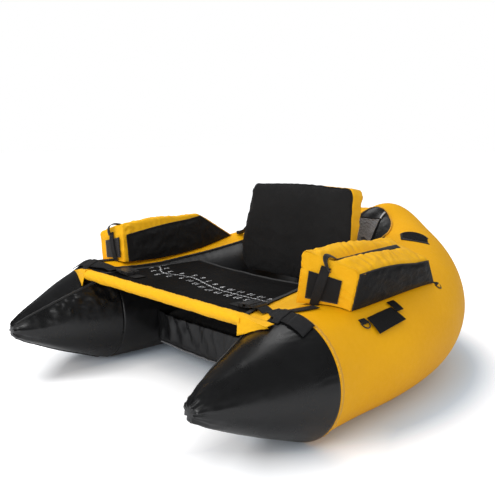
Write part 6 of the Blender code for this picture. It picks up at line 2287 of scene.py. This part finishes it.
@dataclass
class Studio:
    """The floor, the lights and the camera."""

    camera_place: Vector = field(default_factory=lambda: Vector((1.529, -1.579, 0.771)))
    target: Vector = field(default_factory=lambda: Vector((-0.356, 0.233, 0.2625)))
    middle: Vector = field(default_factory=lambda: Vector((0, 0, 0.25)))
    lens: float = 50.93
    shift: float = 0.0164
    floor_half: float = 14
    floor_z: float = -0.0006
    sky: Colour = (0.97, 0.985, 1.0)
    lamps: tuple[Lamp, ...] = (Lamp("key_lamp", (-1.9, -1.5, 2.6), 1.4, 42, glossy=False),
                               Lamp("front_lamp", (0.7, -3.0, 1.9), 1.3, 18),
                               Lamp("low_lamp", (1.7, -3.1, 0.55), 1.0, 21),
                               Lamp("top_lamp", (-0.5, 0.5, 3.1), 1.3, 15))

    def build_camera(self) -> None:
        """Place the camera at the photograph's angle."""
        data = bpy.data.cameras.new("camera")
        data.lens, data.sensor_width, data.shift_y = self.lens, 36, self.shift
        data.dof.use_dof = False
        camera = linked("camera", data)
        camera.matrix_world = facing(self.camera_place, self.target)
        bpy.context.scene.camera = camera

    def build_floor(self) -> None:
        """Lay a pale floor that shows white to the camera and keeps the shadow. Its glow is painted light
        that rises away from the hull, so the shadow shows only beside it, and a painted blue counter-tint
        beside the hull cancels the yellow bounce light in that shadow.
        """
        form = bmesh.new()
        bmesh.ops.create_grid(form, x_segments=1, y_segments=1, size=self.floor_half)
        bmesh.ops.translate(form, verts=form.verts, vec=(0, 0, self.floor_z))
        mesh = bpy.data.meshes.new("floor")
        form.to_mesh(mesh)
        form.free()
        nodes = Nodes("pale_floor")
        parts = nodes.add("SeparateXYZ", {0: nodes.body()})
        # Painted glow mask: 1 on the open floor, ahead of the tube away from its arms and beyond an
        # ellipse round it, and 0 beside the hull, where the real shadow is left to show.
        across, depth = nodes.maths("ABSOLUTE", parts.outputs[0]), parts.outputs[1]
        beside = nodes.maths("ABSOLUTE", nodes.maths("SUBTRACT", across, 0.43))
        within = nodes.maths("MULTIPLY", nodes.spread(beside, 0.08, 0.20),
                             nodes.spread(depth, -0.35, -0.15, 1, 0))
        scaled = nodes.add("VectorMath", {0: nodes.body(), 1: (1 / 0.60, 1 / 0.69, 0)},
                           operation="MULTIPLY")
        around = nodes.add("VectorMath", {0: scaled.outputs[0]}, operation="LENGTH")
        painted_glow_mask = nodes.maths("MAXIMUM", within, nodes.spread(around.outputs["Value"], 1.02, 1.22))
        # Painted counter-tint: a blue colour beside and behind the hull, where the yellow bounce light
        # falls, so that the shadow there looks neutral grey.
        bounce_counter_tint = nodes.maths("MULTIPLY", nodes.spread(depth, -0.50, -0.30),
                           nodes.spread(painted_glow_mask, 0, 1, 1, 0))
        shade = nodes.blend(bounce_counter_tint, (0.95, 0.95, 0.96), (0.68, 0.82, 0.98))
        seen = nodes.add("LightPath").outputs["Is Camera Ray"]
        # Painted brightness: the camera sees the paler, tinted colour, while the light that the floor
        # bounces onto other things comes from a darker grey.
        nodes.finish("", Base_Color=nodes.blend(seen, (0.78, 0.78, 0.79), shade),
                     Roughness=0.9, Specular_IOR_Level=0.1)
        # Painted light: the floor glows for the camera, faintly beside the hull and brightly on the open
        # floor.
        far = nodes.spread(painted_glow_mask, 0, 1, 0.02, 0.42)
        light = nodes.add("Emission", {"Color": (1, 1, 1, 1), "Strength": far})
        both = nodes.add("AddShader", {0: nodes.shader.outputs[0], 1: light.outputs[0]})
        mixed = nodes.add("MixShader", {0: seen, 1: nodes.shader.outputs[0], 2: both.outputs[0]})
        nodes.put(nodes.tree.nodes["Material Output"], "Surface", mixed.outputs[0])
        mesh.materials.append(nodes.owner)
        linked("floor", mesh)

    def build_world(self) -> None:
        """Light the room softly and show it white to the camera, and dimmer in gloss."""
        nodes = Nodes("studio", world=True)
        bpy.context.scene.world = nodes.owner
        nodes.tree.nodes.clear()
        path = nodes.add("LightPath")
        soft, gloss, white = (
            nodes.add("Background", {"Color": (*colour, 1), "Strength": strength}).outputs[0]
            for colour, strength in ((self.sky, 0.74), (self.sky, 0.14), ((1, 1, 1), 1.0)))
        lit = nodes.add("MixShader", {0: path.outputs["Is Glossy Ray"], 1: soft, 2: gloss})
        seen = nodes.add("MixShader", {0: path.outputs["Is Camera Ray"], 1: lit.outputs[0], 2: white})
        nodes.add("OutputWorld", {0: seen.outputs[0]})

    def build(self) -> None:
        """Set up the whole studio."""
        self.build_camera()
        self.build_floor()
        self.build_world()
        for lamp in self.lamps:
            lamp.hang(self.middle)
        bpy.context.scene.view_settings.view_transform = "Standard"


def main() -> None:
    """Dress the whole float tube."""
    logging.basicConfig(level=logging.INFO, format="%(name)s: %(message)s")
    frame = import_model()
    Studio().build()
    shape, finishes = HullShape(), Palette()
    dress_fittings(frame["nodes"], finishes)
    hatches = [ValveHatch(shape, finishes, side) for side in Side]
    Hull(shape, finishes, hatches).build()
    for hatch in hatches:
        hatch.build()
    for side in Side:
        NoseCone(shape, finishes, side).build()
        Pocket(shape, finishes, side).build()
    Stern(shape, finishes).build()
    Seat(shape, finishes).build()
    backrest = Backrest(finishes)
    backrest.build()
    apron = Apron(shape, finishes)
    apron.build()
    for side in Side:
        Straps(shape, finishes, apron, side).build(backrest)
    Tag(shape, finishes).build()


if __name__ == "__main__":
    main()
